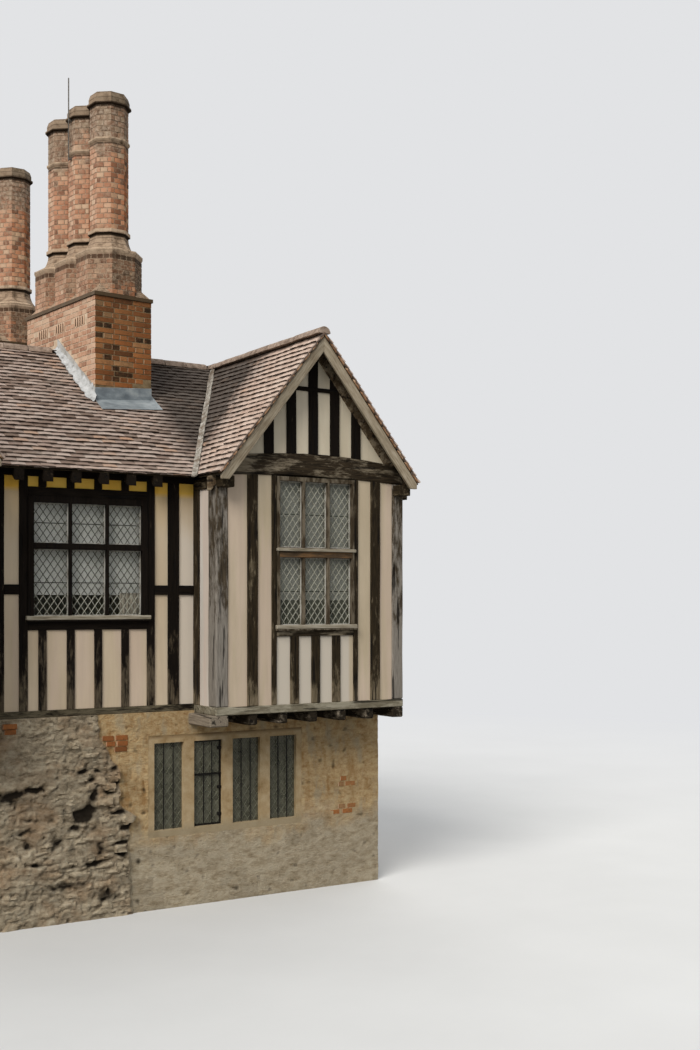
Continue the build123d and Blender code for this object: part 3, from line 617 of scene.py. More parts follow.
stud_oak = oak("oak_wing_studs", "Z", brown_tints, 0.57, (wing_foot + 0.3, wing_foot - 0.1))
gable_oak = oak("oak_gable_studs", "Z", black_tints, 0.66)
post_oak = oak("oak_corner_posts", "Z", ((22, 17, 11), (82, 71, 56), (104, 97, 88), (146, 139, 130)), 0.47,
               (wing_foot + 1.2, wing_foot + 0.3))
hall_oak = oak("oak_hall_frame", "Z", black_tints, 0.65, (wing_foot + 1.2, wing_foot - 0.35))
sill_oak = oak("oak_sills", "X", ((94, 87, 71), (120, 112, 94), (132, 125, 107), (164, 157, 139)), 0.5)
rail_oak = oak("oak_rails", "X", ((7, 4, 2), (26, 19, 12), (60, 53, 39), (112, 103, 84)), 0.75,
               (wing_foot + 0.15, wing_foot + 0.02))
beam_oak = oak("oak_tie_beams", "X", ((10, 7, 4), (62, 51, 37), (92, 80, 62), (152, 140, 120)), 0.53,
               pale_end=(1.85, 1.6))
joist_oak = oak("oak_joists", "Y", ((10, 7, 4), (50, 42, 31), (92, 82, 69), (150, 138, 122)), 0.55,
                pale_end=(1.5, 1.44))
plate_oak = oak("oak_plates", "Y", brown_tints, 0.56)
for node, material, grain, wobble, edge in (
        ("wing_studs", stud_oak, "Z", 0.005, 0.008), ("gable_studs", gable_oak, "Z", 0.004, 0.007),
        ("side_studs", stud_oak, "Z", 0.004, 0.007), ("hall_posts", hall_oak, "Z", 0.003, 0.005),
        ("corner_posts", post_oak, "Z", 0.007, 0.014), ("bressummers", sill_oak, "X", 0.006, 0.007),
        ("tie_beams", beam_oak, "X", 0.010, 0.012), ("hall_rails", rail_oak, "X", 0.003, 0.005),
        ("gable_collars", rail_oak, "X", 0.004, 0.004), ("wing_rails", beam_oak, "X", 0.003, 0.005),
        ("jetty_joists", joist_oak, "Y", 0.007, 0.014), ("side_sills", sill_oak, "Y", 0.005, 0.007),
        ("wall_plates", plate_oak, "Y", 0.003, 0.007)):
    worn_copy(node, material, "oak", grain, wobble, edge)
rafter_oak = oak("oak_rafters", "Y", ((6, 4, 2), (30, 22, 14), (52, 42, 30), (84, 72, 56)), 0.62)
verge_oak = oak("oak_verge_rafters", "Y", ((44, 32, 20), (106, 88, 66), (124, 108, 86), (160, 146, 124)), 0.5)
for node, material in (("hall_rafters", rafter_oak), ("upper_floor", rafter_oak),
                       ("wing_rafters", verge_oak)):
    coat(nodes[node], material)

# Barge boards: sawn oak planks, unpainted and silver-grey, nailed under the edge of the tiles. The
# grain runs down the slope, and the boards on the hall's side are the darker ones.
plank = Finish("oak_barge_boards", 0.86)
from_ridge = abs(abs(plank.axis("X")) - wing_mid)
level = plank.axis("Z")
down_slope = from_ridge * math.cos(wing_pitch) + level * -math.sin(wing_pitch)
off_slope = from_ridge * math.sin(wing_pitch) + level * math.cos(wing_pitch)
patch = plank.noise(0.3, detail=6)
outer = abs(plank.axis("X")).spread(wing_mid - 0.02, wing_mid + 0.02)
plank.place = plank.step("ShaderNodeCombineXYZ", "Vector", {
    "X": down_slope * 0.07, "Y": plank.axis("Y"), "Z": off_slope})
fibre = plank.noise(0.016, detail=8, rough=0.66)
tint = fibre.ramp((0.3, 110, 98, 81), (0.5, 154, 141, 120), (0.7, 180, 169, 150)).shade(outer, 0.84, 1.08)
plank.relief(fibre, 0.003)
plank.paint(patch.spread(0.5, 0.68, 0, 0.5).mix(tint, (112, 94, 74)))
worn_copy("barge_boards", plank.material, "barge_oak", "X", 0.003, 0.005, 0.5)

# Plaster: lime plaster on wattle between the timbers, limewashed a buff cream. Under the hall's
# eaves, where no rain reaches, the older ochre wash is still strong.
lintel_level = 4.85


def plaster(name, low, high, weather=0.14, blush=0.5):
    """Limewashed plaster between two tints, with faint upright streaks of old rain."""
    finish = Finish(name, 0.92)
    wash = finish.noise(0.55, (1, 1, 2.5))
    streak = finish.noise(0.05, (1, 1, 16), detail=4, shift=2.0)
    speck = finish.noise(0.02, detail=7)
    pink = finish.noise(0.34, (1, 1, 9), detail=3, shift=8.0)
    tint = pink.spread(0.46, 0.6, 0, blush).mix(wash.ramp((0.35, *low), (0.62, *high)), (206, 184, 168))
    finish.relief(wash + speck * 0.25, 0.008)
    return finish, tint.shade(streak, 1 - weather, 1 + weather * 0.55), wash


finish, tint, wash = plaster("lime_plaster", (184, 168, 142), (198, 182, 157))
aside = abs(abs(finish.axis("X")) - wing_mid)
under_window = aside.spread(0.53, 0.5) * finish.axis("Z").spread(3.24, 3.2)
coat(nodes["wing_plaster"], finish.paint(under_window.mix(tint, (198, 188, 173))))
finish, tint, wash = plaster("pale_plaster", (190, 182, 172), (206, 199, 190))
coat(nodes["side_plaster"], finish.paint(tint))
finish, tint, wash = plaster("gable_plaster", (200, 187, 163), (214, 203, 181), blush=0.1)
coat(nodes["gable_plaster"], finish.paint(tint))
finish, tint, wash = plaster("hall_plaster", (196, 177, 150), (208, 190, 164))
tint = finish.axis("X").spread(0.95, 1.15).mix(tint, (212, 200, 184))
# Painted light: lighter on the far left, to make up for the shade that the left wing casts there.
tint = tint.shade(finish.axis("X").spread(-0.8, -1.2), 1.0, 1.2)
fading = finish.axis("Z") + wash.spread(0.3, 0.7, -0.2, 0.2)
tint = fading.spread(4.35, 4.95, 0, 0.6).mix(tint, (188, 156, 98))
ochre = wash.ramp((0.35, 226, 172, 62), (0.65, 240, 196, 92))
under_eaves = finish.axis("Z").spread(lintel_level - 0.06, lintel_level)
coat(nodes["hall_plaster"], finish.paint(under_eaves.mix(tint, ochre)))

# Stone windows: dressed sandstone sills, chamfered jambs, mullions and lintels. Upright iron bars
# stand before the leaded lights, and the second light is an iron casement with its catch.
quarry_width = 0.084
quarry_height = 0.118
came_width = 0.007
came_thick = 0.014
blind_foot = 3.658
dressed = Finish("dressed_stone", 0.9)
face_cloud = dressed.noise(0.16, detail=8, rough=0.65)
face_grain = dressed.noise(0.012, detail=6)
tint = face_cloud.ramp((0.28, 136, 110, 74), (0.45, 168, 144, 108), (0.7, 188, 168, 136))
lintel = dressed.axis("Z").spread(window_high.z - 0.05, window_high.z - 0.01)
tint = (lintel * face_cloud.spread(0.35, 0.55, 0.3, 0.85)).mix(tint, (98, 76, 48))
sill_stain = dressed.axis("Z").spread(window_low.z + 0.16, window_low.z + 0.05, 0, 0.7)
tint = sill_stain.mix(tint, (150, 138, 114))
dressed.relief(face_cloud + face_grain, 0.005)
dressed.paint(face_grain.spread(0.4, 0.7, 0, 0.3).mix(tint, (132, 112, 82)))
worn_copy("stone_window_surrounds", dressed.material, "dressed_stone", "X", 0.002, 0.022, 9)

black_iron = cloudy("black_iron", (0.6, 0.4, 0.3), 0.001, {"size": 0.03, "detail": 7}, (0.4, 14, 12, 10),
                    (0.62, 28, 24, 20), (0.75, 58, 42, 30))
coat(nodes["iron_casements"], black_iron)
coat(nodes["lightning_rod"], cloudy("grey_rod", (0.6, 0.3, 0.3), 0.001, {"size": 0.03}, (0.4, 84, 78, 70),
                                    (0.65, 122, 118, 112)))


def old_glass(name, low, high, clear, by_wing=None):
    """Thin uneven glass, dulled by age, and duller in the wings where by_wing says so."""
    finish = Finish(name, 0.12, 0.0, 0.5)
    wave = finish.noise(0.07, detail=2)
    finish.relief(wave, 0.003)
    if by_wing:
        clear = abs(finish.axis("Y")).spread(wall_face + 0.2, wall_face + 0.3, *by_wing)
    finish.feed(finish.shader.inputs["Alpha"], clear)
    return finish.paint(wave.ramp((0.35, *low), (0.65, *high)))


coat(nodes["stone_window_glass"], old_glass("dull_glass", (74, 73, 60), (100, 98, 83), 0.85))
coat(nodes["leaded_glass"], old_glass("clear_old_glass", (72, 74, 60), (98, 100, 84), 0.2, (0.06, 0.3)))


def came_lead(name, low, high, shaded=None):
    """Dull lead between two tints; shaded ones hang before the hall's pale blind."""
    finish = Finish(name, 0.7, 0.0, 0.3)
    cloud = finish.noise(0.02)
    finish.relief(cloud, 0.0006)
    tint = cloud.ramp((0.3, *low), (0.7, *high))
    if shaded:
        in_hall = abs(finish.axis("Y")).spread(wall_face + 0.2, wall_face + 0.1)
        tint = (in_hall * finish.axis("Z").spread(blind_foot - 0.01, blind_foot + 0.01)).mix(tint, shaded)
    return finish.paint(tint)


dull_lead = came_lead("dull_lead", (92, 92, 76), (122, 122, 104))
pale_lead = came_lead("pale_lead", (146, 144, 130), (182, 180, 166), (74, 74, 62))


def bevelled_block(name, length, depth, height, edge):
    """A squared block about the origin with its edges taken off, to be copied."""
    bpy.ops.object.select_all(action="DESELECT")
    bpy.ops.mesh.primitive_cube_add(size=1)
    block = bpy.context.object
    block.name = name
    with editing(block):
        bpy.ops.transform.resize(value=(length, depth, height))
    wear_edges(block, edge)
    return block


def lay(name, pattern, places, angle=32, **values):
    """Join copies of one modelled piece, each with its own mesh and its own numbers."""
    mesh = pattern.data
    points = np.array([tuple(vertex.co) for vertex in mesh.vertices])
    sides = np.array([len(face.vertices) for face in mesh.polygons])
    corners = np.concatenate([np.array(face.vertices) for face in mesh.polygons])
    count, total = len(points), len(places)
    padded = np.c_[points, np.ones(count)]
    turned = np.einsum("nij,vj->nvi", np.array([np.array(place) for place in places]), padded)
    made = bpy.data.meshes.new(name)
    made.vertices.add(count * total)
    made.vertices.foreach_set("co", turned[:, :, :3].reshape(-1, 3).ravel())
    made.loops.add(len(corners) * total)
    made.loops.foreach_set("vertex_index", (corners[None, :] + count * np.arange(total)[:, None]).ravel())
    made.polygons.add(len(sides) * total)
    made.polygons.foreach_set("loop_start", np.tile(sides, total).cumsum() - np.tile(sides, total))
    made.update(calc_edges=True)
    piece = bpy.data.objects.new(name, made)
    bpy.context.scene.collection.objects.link(piece)
    for label, numbers in values.items():
        keep_numbers(piece, label, np.repeat(np.array(numbers), count))
    spans = points[:, 1] - points[:, 1].min()
    keep_numbers(piece, "reach", np.tile(spans / spans.max(), total))
    smooth(piece, angle)
    return piece


def discard(pattern):
    """Remove a pattern once its copies are laid."""
    bpy.data.objects.remove(pattern, do_unlink=True)


def bar(low, high):
    """The place of a straight bar from its low and high corners."""
    middle = [(a + b) / 2 for a, b in zip(low, high)]
    return Matrix.Translation(middle) @ Matrix.Diagonal([b - a for a, b in zip(low, high)] + [1])


def lead_light(depth, low, high):
    """Places for the slanting leads of one light that faces along y, with low and high as (x, z)."""
    width, height = high[0] - low[0], high[1] - low[1]
    slope = quarry_height / quarry_width
    start = -math.ceil(width / quarry_width) * quarry_height + quarry_height / 2
    places = []
    while start < height:
        for way in (1, -1):
            ends = []
            for level in (max(start, 0), min(start + width * slope, height)):
                across = (level - start) / slope
                ends.append(Vector((low[0] + (across if way > 0 else width - across), depth, low[1] + level)))
            run = ends[1] - ends[0]
            if run.z > 0.02:
                along = run.normalized()
                turn = Matrix((along, north, along.cross(north))).transposed().to_4x4()
                size = Matrix.Diagonal((run.length, came_thick, came_width, 1))
                places.append(Matrix.Translation((ends[0] + ends[1]) / 2) @ turn @ size)
        start += quarry_height
    return places


def rim(depth, low, high, width, thick):
    """Places for the four bars round one light."""
    near, far = depth - thick / 2, depth + thick / 2
    places = [bar((low[0], near, z), (high[0], far, z + width)) for z in (low[1], high[1] - width)]
    foot, head = low[1] + width, high[1] - width
    places += [bar((x, near, foot), (x + width, far, head)) for x in (low[0], high[0] - width)]
    return places


def panes(node):
    """Each separate body of a node as (low corner, high corner)."""
    mesh = nodes[node].data
    parent = {}

    def root(key):
        while parent[key] != key:
            key = parent[key]
        return key

    keys = [tuple(round(part, 5) for part in vertex.co) for vertex in mesh.vertices]
    for key in keys:
        parent.setdefault(key, key)
    for face in mesh.polygons:
        first = root(keys[face.vertices[0]])
        for corner in face.vertices[1:]:
            parent[root(keys[corner])] = first
    groups = {}
    for key in sorted(set(keys)):
        groups.setdefault(root(key), []).append(key)
    boxes = [(np.array(group).min(0), np.array(group).max(0)) for group in groups.values()]
    return sorted(boxes, key=lambda box: tuple(box[0].round(3)))


strip = bevelled_block("pattern_strip", 1, 1, 1, 0.2)
leads, guards, catches = [], [], []
for low, high in panes("stone_window_glass"):
    depth = (low[1] + high[1]) / 2
    leads += lead_light(depth, (low[0], low[2]), (high[0], high[2]))
    before = depth + (-1 if depth < 0 else 1) * 0.03
    for share in (0.34, 0.67):
        x = low[0] + share * (high[0] - low[0])
        guards.append(bar((x - 0.006, before - 0.006, low[2]), (x + 0.006, before + 0.006, high[2])))
for low, high in panes("iron_casements"):
    depth = (low[1] + high[1]) / 2
    face = sorted((depth, depth + (-1 if depth < 0 else 1) * 0.032))
    tall = high[2] - low[2]
    level = low[2] + 0.6 * tall
    catches.append(bar((low[0], face[0], level - 0.012), (high[0], face[1], level + 0.012)))
    for share in (0.12, 0.44, 0.9):
        level = low[2] + share * tall
        catches.append(bar((high[0] - 0.05, face[0], level - 0.02), (high[0] + 0.002, face[1], level + 0.02)))
timber_leads, saddles, edges = [], [], []
for low, high in panes("leaded_glass"):
    depth, level = (low[1] + high[1]) / 2, (low[2] + high[2]) / 2
    corner, far = (low[0], low[2]), (high[0], high[2])
    timber_leads += lead_light(depth, corner, far)
    edges += rim(depth, corner, far, 0.014, 0.03)
    saddles.append(bar((low[0], depth + 0.008, level - 0.005), (high[0], depth + 0.018, level + 0.005)))
edge_iron = cloudy("casement_edges", (0.6,), 0.001, {"size": 0.03, "stretch": (1, 1, 4), "detail": 6},
                   (0.35, 118, 112, 102), (0.5, 166, 163, 154), (0.75, 190, 188, 180))
for name, places, material, slot in (
        ("stone_window_leads", leads, dull_lead, "lead"),
        ("window_guard_bars", guards, black_iron, "iron"),
        ("casement_catches", catches, black_iron, "iron"),
        ("timber_window_leads", timber_leads, pale_lead, "lead"),
        ("timber_window_casements", edges, edge_iron, "iron"),
        ("saddle_bars", saddles, black_iron, "iron")):
    ready(lay(name, strip, places), material, slot)

# Timber windows: oak frames, black on the hall and weathered on the wings, with pale sills and, on
# the wings, a pale ledge along the top of the transom.
ledge_high = 0.045
ledge_out = 0.03
glass_back = 0.058
coat(nodes["hall_windows"], oak("oak_hall_window", "Z", black_tints, 0.8))
weathered = Finish("oak_wing_window", 0.84)
fibre = weathered.noise(0.014, (1, 1, 12), detail=7, rough=0.68)
patch = weathered.noise(0.08, (1, 1, 4), detail=8, rough=0.7)
weathered.relief(fibre, 0.003)
weathered.paint(patch.spread(0.45, 0.58).mix(fibre.ramp((0.3, 26, 19, 12), (0.6, 70, 59, 44)),
                                             fibre.ramp((0.3, 78, 68, 54), (0.6, 122, 112, 96))))
coat(nodes["wing_windows"], weathered.material)
pale_ledge = cloudy("oak_pale_ledge", (0.86,), 0.003, {"size": 0.016, "stretch": (12, 1, 1), "detail": 7},
                    (0.3, 104, 94, 76), (0.5, 150, 141, 124), (0.7, 172, 165, 150))
brown_rail = cloudy("oak_brown_rail", (0.84,), 0.003,
                    {"size": 0.05, "stretch": (5, 1, 1), "detail": 8, "rough": 0.7},
                    (0.3, 38, 29, 20), (0.46, 82, 66, 49), (0.6, 116, 86, 56), (0.72, 108, 96, 79))


def joined(name, boxes, edge):
    """Straight members of their own sizes with worn edges, joined into one piece."""
    made = []
    for low, high in boxes:
        block = bevelled_block(name, *[b - a for a, b in zip(low, high)], edge)
        for vertex in block.data.vertices:
            vertex.co += (Vector(low) + Vector(high)) / 2
        made.append(block)
    bpy.ops.object.select_all(action="DESELECT")
    for block in made:
        block.select_set(True)
    bpy.context.view_layer.objects.active = made[0]
    bpy.ops.object.join()
    return bpy.context.object


def member(ends, faces, levels):
    """The low and high corners of a straight member between two ends, faces and levels."""
    return list(zip(*(sorted(pair) for pair in (ends, faces, levels))))


lights = panes("leaded_glass")
sill_boxes, rail_boxes = [], []
for low, high in panes("wing_windows") + panes("hall_windows"):
    in_frame = [pane for pane in lights if low[0] < pane[0][0] < high[0] and low[1] < pane[0][1] < high[1]]
    side = -1 if low[1] < 0 else 1
    face = low[1] if side < 0 else high[1]
    frame_face = in_frame[0][0][1] + side * glass_back
    levels = sorted({round(float(part), 3) for pane in in_frame for part in (pane[0][2], pane[1][2])})
    sill_top, lower_head, upper_foot = levels[:3]
    sill_boxes.append(member((low[0] - 0.004, high[0] + 0.004), (face + side * 0.006, face - side * 0.09),
                             (sill_top - 0.042, sill_top + 0.004)))
    if abs(face) > wall_face + 0.3:
        back = frame_face - side * 0.02
        sill_boxes.append(member((low[0] + 0.01, high[0] - 0.01), (frame_face + side * ledge_out, back),
                                 (upper_foot - ledge_high, upper_foot - 0.008)))
        rail_boxes.append(member((low[0] + 0.05, high[0] - 0.05), (frame_face + side * 0.004, back),
                                 (lower_head, upper_foot - ledge_high)))
ready(joined("window_sills_and_ledges", sill_boxes, 0.006), pale_ledge, "window_oak")
ready(joined("window_transom_rails", rail_boxes, 0.003), brown_rail, "window_oak")

# Blinds: unlined cotton, hung close behind the leaded windows, and one linen curtain gathered at the
# foot of the hall's window.
fold_steps = 400
curtain_wide, curtain_drop = 0.24, 0.25
lower_row, stack_side = 3.6, 1.0
cotton = cloudy("cotton_blind", (0.95,), 0.0008, {"size": 0.3, "stretch": (1, 1, 3), "detail": 4},
                (0.3, 222, 222, 214), (0.7, 240, 239, 232), grain={"size": 0.004, "detail": 2})
linen = cloudy("linen_curtain", (0.95,), 0.0008, {"size": 0.03, "stretch": (1, 1, 9)},
               (0.35, 120, 112, 98), (0.65, 196, 188, 172), grain={"size": 0.004, "detail": 2})


def hang(name, foot, width, drop, folds, swing, material, *replaced):
    """A hanging cloth on the middle of its foot, as wide as it hangs in upright folds; its flat size too."""
    cloth = grid(name, 10 * folds, 12)
    for vertex in cloth.data.vertices:
        across, rise = vertex.co.x, vertex.co.y
        sway = swing * math.sin(across * 2 * math.pi * folds) * (0.8 - 0.4 * rise)
        vertex.co = Vector((foot[0] + across * width, foot[1] + sway, foot[2] + (rise + 0.5) * drop))
    body = cloth.modifiers.new("cloth", "SOLIDIFY")
    body.thickness = 0.001
    body.offset = 0
    apply_all(cloth)
    wave = [swing * 0.8 * math.sin(2 * math.pi * folds * step / fold_steps) for step in range(fold_steps + 1)]
    length = sum(math.hypot(width / fold_steps, b - a) for a, b in zip(wave, wave[1:]))
    return ready(cloth, material, "blind", *replaced), (length, drop)


for number, (low, high) in enumerate(panes("window_blinds"), 1):
    foot = ((low[0] + high[0]) / 2, (low[1] + high[1]) / 2, low[2])
    blind, flat = hang("blind_" + str(number), foot, high[0] - low[0], high[2] - low[2], 3, 0.003, cotton,
                       "window_blinds")
in_hall = [pane for pane in lights if pane[0][1] > -wall_face and pane[1][0] < stack_side]
low, high = [pane for pane in in_hall if pane[0][2] < lower_row][-1]
curtain, flat = hang("curtain", (high[0] - curtain_wide / 2, high[1] + 0.05, low[2] + 0.01), curtain_wide,
                     curtain_drop, 5, 0.014, linen)

# Roof: hand-made plain clay tiles hung in close courses on oak boards, gently out of line, two
# thick at the eaves. The front slope stays damp and black with moss between the stack and the valley.
tile_wide = 0.165
tile_long = 0.17
tile_gauge = 0.088
tile_body = 0.013
tile_camber = 0.004
tile_lean = math.radians(9.5)
board_drop = 0.041
eaves_back = 0.03
verge_back = 0.015
valley_wide = 0.036
random.seed(11)

ridge_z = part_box("hall_slope_front")[1].z
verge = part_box("right_outer_slope")[1].y
wing_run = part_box("right_outer_slope")[1].x - wing_mid
hall_run = -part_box("hall_slope_front")[0].y
wing_rise = math.tan(wing_pitch)
eaves_z = ridge_z - wing_run * wing_rise
hall_rise = (ridge_z - eaves_z) / hall_run
valley_x = wing_mid - wing_run
stack_corner = Vector((0.518, -1.03, 0))
stack_turn = math.radians(6)
stack_wide = 0.775
stack_long = 1.95
stack_frame = Matrix.Translation(stack_corner) @ Matrix.Rotation(stack_turn, 4, "Z")
to_stack = stack_frame.inverted()


def roof_level(x, y):
    """Height of the roof's tiled face over one place in plan."""
    return ridge_z - min(hall_rise * abs(y), wing_rise * abs(abs(x) - wing_mid))


tile = Finish("clay_tile", 0.9)
lichen = tile.noise(0.22, detail=9, rough=0.75)
grit = tile.noise(0.014, detail=6)
clay = tile.tone().ramp((0.0, 118, 100, 88), (0.25, 152, 132, 120), (0.55, 172, 153, 141),
                            (0.88, 186, 168, 156), (1.0, 174, 138, 112))
tint = lichen.spread(0.5, 0.66, 0, 0.5).mix(clay, (158, 150, 140))
from_valley = tile.axis("Y") + tile.axis("X") * -0.4 + 2.6 + lichen.spread(0.3, 0.7, -0.25, 0.25)
in_front = tile.axis("Y").spread(0.25, 0.0)
beside_stack = tile.axis("X").spread(1.15, 1.5) * tile.axis("X").spread(2.75, 2.62)
damp = beside_stack * (from_valley.spread(-0.12, 0.16) * in_front)
moss = grit.ramp((0.3, 40, 38, 35), (0.6, 76, 73, 68), (0.8, 120, 117, 110))
tint = (damp * 0.86).mix(tint, moss)
towards_verge = from_valley.spread(0.1, -0.5, 0, 0.85) * tile.axis("X").spread(1.0, 1.4)
tint = towards_verge.mix(tint, lichen.ramp((0.35, 186, 158, 140), (0.6, 222, 200, 184)))
# Painted shade: each tile darkens from a third of the way up, as the shadow under the tail of the course
# above.
tint = tile.tone("reach").spread(0.28, 0.5, 0, 0.85).mix(tint, (50, 41, 35))
# Painted shade: the upright tail end of each tile is darkened.
upright = tile.facing("Z").spread(0.35, 0.1, 0, 0.9)
tint = (upright * tile.tone("reach").spread(0.015, 0.005)).mix(tint, (44, 34, 28))
tile.relief(grit + lichen, 0.003)
tile.paint(grit.spread(0.42, 0.7, 0, 0.3).mix(tint, (104, 84, 72)))

pattern_tile = bevelled_block("pattern_tile", tile_wide - 0.003, tile_long, tile_body, 0.002)
with editing(pattern_tile):
    bpy.ops.mesh.bisect(plane_co=(0, 0, 0), plane_no=(1, 0, 0))
    bpy.ops.mesh.select_all(action="SELECT")
    bpy.ops.transform.translate(value=(0, tile_long / 2, -tile_body / 2))
for vertex in pattern_tile.data.vertices:
    vertex.co.z += tile_camber * (1 - (2 * vertex.co.x / tile_wide) ** 2)


def in_stack(point):
    """True where a chimney stands through the roof."""
    local = to_stack @ Vector((point.x, point.y, 0))
    main = 0.05 < local.x < stack_wide - 0.05 and 0.02 < local.y < stack_long - 0.1
    return main or (rear_low.x + 0.06 < point.x < rear_high.x - 0.06 and rear_low.y < point.y < rear_high.y)


def tile_slope(name, eaves, along, up_slope, width, height, cuts):
    """Tile one slope from its eaves line, and cut it to its valleys."""
    outward = along.cross(up_slope).normalized()
    turn = Matrix((along, up_slope, outward)).transposed().to_4x4()
    places, tones = [], []
    for course in range(-1, int(height / tile_gauge) + 1):
        level = course * tile_gauge
        for column in range(int(width / tile_wide) + 2):
            across = (column - 0.5 + (0.5 if course % 2 else 0.0)) * tile_wide
            across = min(max(across, tile_wide / 2), width - tile_wide / 2)
            spot = eaves + along * across + up_slope * max(course, 0) * tile_gauge
            if in_stack(spot + up_slope * 0.05) or level + tile_long > height + 0.05:
                continue
            if any((spot - foot).dot(normal) > 0.13 for foot, normal in cuts):
                continue
            wave = noise.noise(Vector((spot.x * 1.1, spot.y * 1.1, spot.z * 1.1)))
            under = tile_body if course < 0 else 0
            drift = 0.03 * wave if 0 < level < height - 0.2 else 0
            spot += outward * (0.009 * wave + random.uniform(-0.003, 0.002) - under)
            spot += up_slope * (random.uniform(-0.007, 0.005) + drift)
            tilt = Matrix.Rotation(-tile_lean + random.uniform(-0.02, 0.02), 4, "X")
            skew = Matrix.Rotation(random.uniform(-0.02, 0.02), 4, "Z")
            rock = Matrix.Rotation(random.uniform(-0.015, 0.015), 4, "Y")
            places.append(Matrix.Translation(spot) @ turn @ skew @ tilt @ rock)
            tones.append(random.random())
    piece = lay(name, pattern_tile, places, tone=tones)
    for point, normal in cuts:
        with editing(piece):
            bpy.ops.mesh.bisect(plane_co=point, plane_no=normal, use_fill=True, clear_outer=True)
    return piece


def roof_board(node):
    """The boards under one slope: the slab's own form with its top let down to carry the tiles."""
    piece = copy_of(node, "boards_" + node)
    is_hall = node.startswith("hall")
    rise, full_run = (hall_rise, hall_run) if is_hall else (wing_rise, wing_run)
    for vertex in piece.data.vertices:
        point = vertex.co
        out = point.y if is_hall else abs(point.x) - wing_mid
        on_top = abs(ridge_z - rise * abs(out) - point.z) < 0.002
        if abs(out) > full_run - 0.002:
            step = -eaves_back if out > 0 else eaves_back
            if is_hall:
                point.y += step
            else:
                point.x += step * (1 if point.x > 0 else -1)
            point.z += eaves_back * rise
        if on_top:
            point.z -= board_drop / math.cos(math.atan(rise))
        if abs(point.y) > verge - 0.002:
            point.y += verge_back * (-1 if point.y > 0 else 1)
    return piece


def valley_cut(hand, side):
    """A valley's foot in plan, and the level direction square to its run."""
    foot = Vector((hand * valley_x, side * hall_run, 0))
    return foot, (Vector((hand * wing_mid, 0, 0)) - foot).cross(up).normalized()


hall_high = math.hypot(hall_run, ridge_z - eaves_z)
wing_high = math.hypot(wing_run, ridge_z - eaves_z)
slopes = {}
for side, name in ((-1, "hall_slope_front"), (1, "hall_slope_back")):
    cuts = []
    for hand in (-1, 1):
        foot, normal = valley_cut(hand, side)
        cuts.append((foot, normal if normal.x * hand > 0 else -normal))
    slope_up = Vector((0, -side * hall_run, ridge_z - eaves_z)).normalized()
    eaves = Vector((side * wing_mid, side * hall_run, eaves_z))
    slopes[name] = tile_slope("tiles_" + name, eaves, east * -side, slope_up, 2 * wing_mid, hall_high, cuts)
for hand, word in ((1, "right"), (-1, "left")):
    outer_up = Vector((-hand, 0, wing_rise)).normalized()
    inner_up = Vector((hand, 0, wing_rise)).normalized()
    eaves = Vector((hand * (wing_mid + wing_run), -hand * verge, eaves_z))
    slopes[word + "_outer_slope"] = tile_slope(
        "tiles_" + word + "_outer", eaves, north * hand, outer_up, 2 * verge, wing_high, [])
    for side, place in ((-1, "front"), (1, "back")):
        foot, normal = valley_cut(hand, side)
        eaves = Vector((hand * valley_x, verge * hand if hand * side > 0 else 0.0, eaves_z))
        slopes[word + "_inner_" + place] = tile_slope(
            "tiles_" + word + "_inner_" + place, eaves, north * -hand, inner_up, verge, wing_high,
            [(foot, normal if normal.y * side < 0 else -normal)])
discard(pattern_tile)
board_oak = oak("oak_roof_boards", "Y", brown_tints, 0.6)
for node in ("hall_slope_front", "hall_slope_back", "right_outer_slope", "left_outer_slope",
             "right_inner_slopes", "left_inner_slopes"):
    ready(roof_board(node), board_oak, "boards", node)
    for name, piece in slopes.items():
        if name.startswith(node.replace("_inner_slopes", "_inner")):
            ready(piece, tile.material, "roof_tile", node)

# Verges: an undercloak of tile slips bedded under the outermost tiles, redder than the rest, laid end
# to end down each gable.
slip_long, slip_deep, slip_thick, slip_joint = 0.16, 0.11, 0.03, 0.006
slip_clay = cloudy("tile_slips", (0.9,), 0.003, {"size": 0.08, "detail": 7},
                   (0.35, 106, 76, 54), (0.5, 158, 120, 90), (0.7, 180, 156, 130))
count = int(wing_high / slip_long)
slip_size = Matrix.Diagonal((wing_high / count - slip_joint, slip_deep, slip_thick, 1))
slips = []
for hand, face, way in ((hand, face, way) for hand in (-1, 1) for face in (-1, 1) for way in (-1, 1)):
    lean = Matrix.Rotation(way * wing_pitch, 4, "Y")
    for place in range(count):
        run = (place + 0.5) * wing_high / count
        spot = Vector((hand * wing_mid + way * run * math.cos(wing_pitch), face * (verge - 0.057),
                       ridge_z - run * math.sin(wing_pitch)))
        spot += Vector((way * math.sin(wing_pitch), 0, math.cos(wing_pitch))) * -0.035
        slips.append(Matrix.Translation(spot) @ lean @ slip_size)
ready(lay("verge_slips", strip, slips), slip_clay, "roof_tile")

# Valleys and ridges: the valleys are filled with a rough lime fillet, and the ridges are covered
# with half round tiles bedded in mortar.
ridge_radius = 0.083
ridge_sink = 0.056
ridge_piece = 0.32
lime = Finish("lime_fillet", 0.9)
cloud = lime.noise(0.06, detail=9, rough=0.75)
patch = lime.noise(0.16, detail=7)
lime.relief(cloud, 0.006)
lime.paint(patch.spread(0.48, 0.6, 0, 0.7).mix(
    cloud.ramp((0.3, 62, 55, 47), (0.44, 128, 120, 109), (0.6, 182, 177, 168)), (112, 96, 80)))


def fillet(name, rows, columns, thick, material, slot, surface):
    """A rough strip whose surface gives a place for each share across it and along it."""
    piece = grid(name, columns, rows)
    for vertex in piece.data.vertices:
        vertex.co = surface(vertex.co.x + 0.5, vertex.co.y + 0.5)
    body = piece.modifiers.new("body", "SOLIDIFY")
    body.thickness = thick
    body.offset = 0
    apply_all(piece)
    with editing(piece):
        bpy.ops.mesh.normals_make_consistent(inside=False)
    smooth(piece, 50)
    return ready(piece, material, slot)


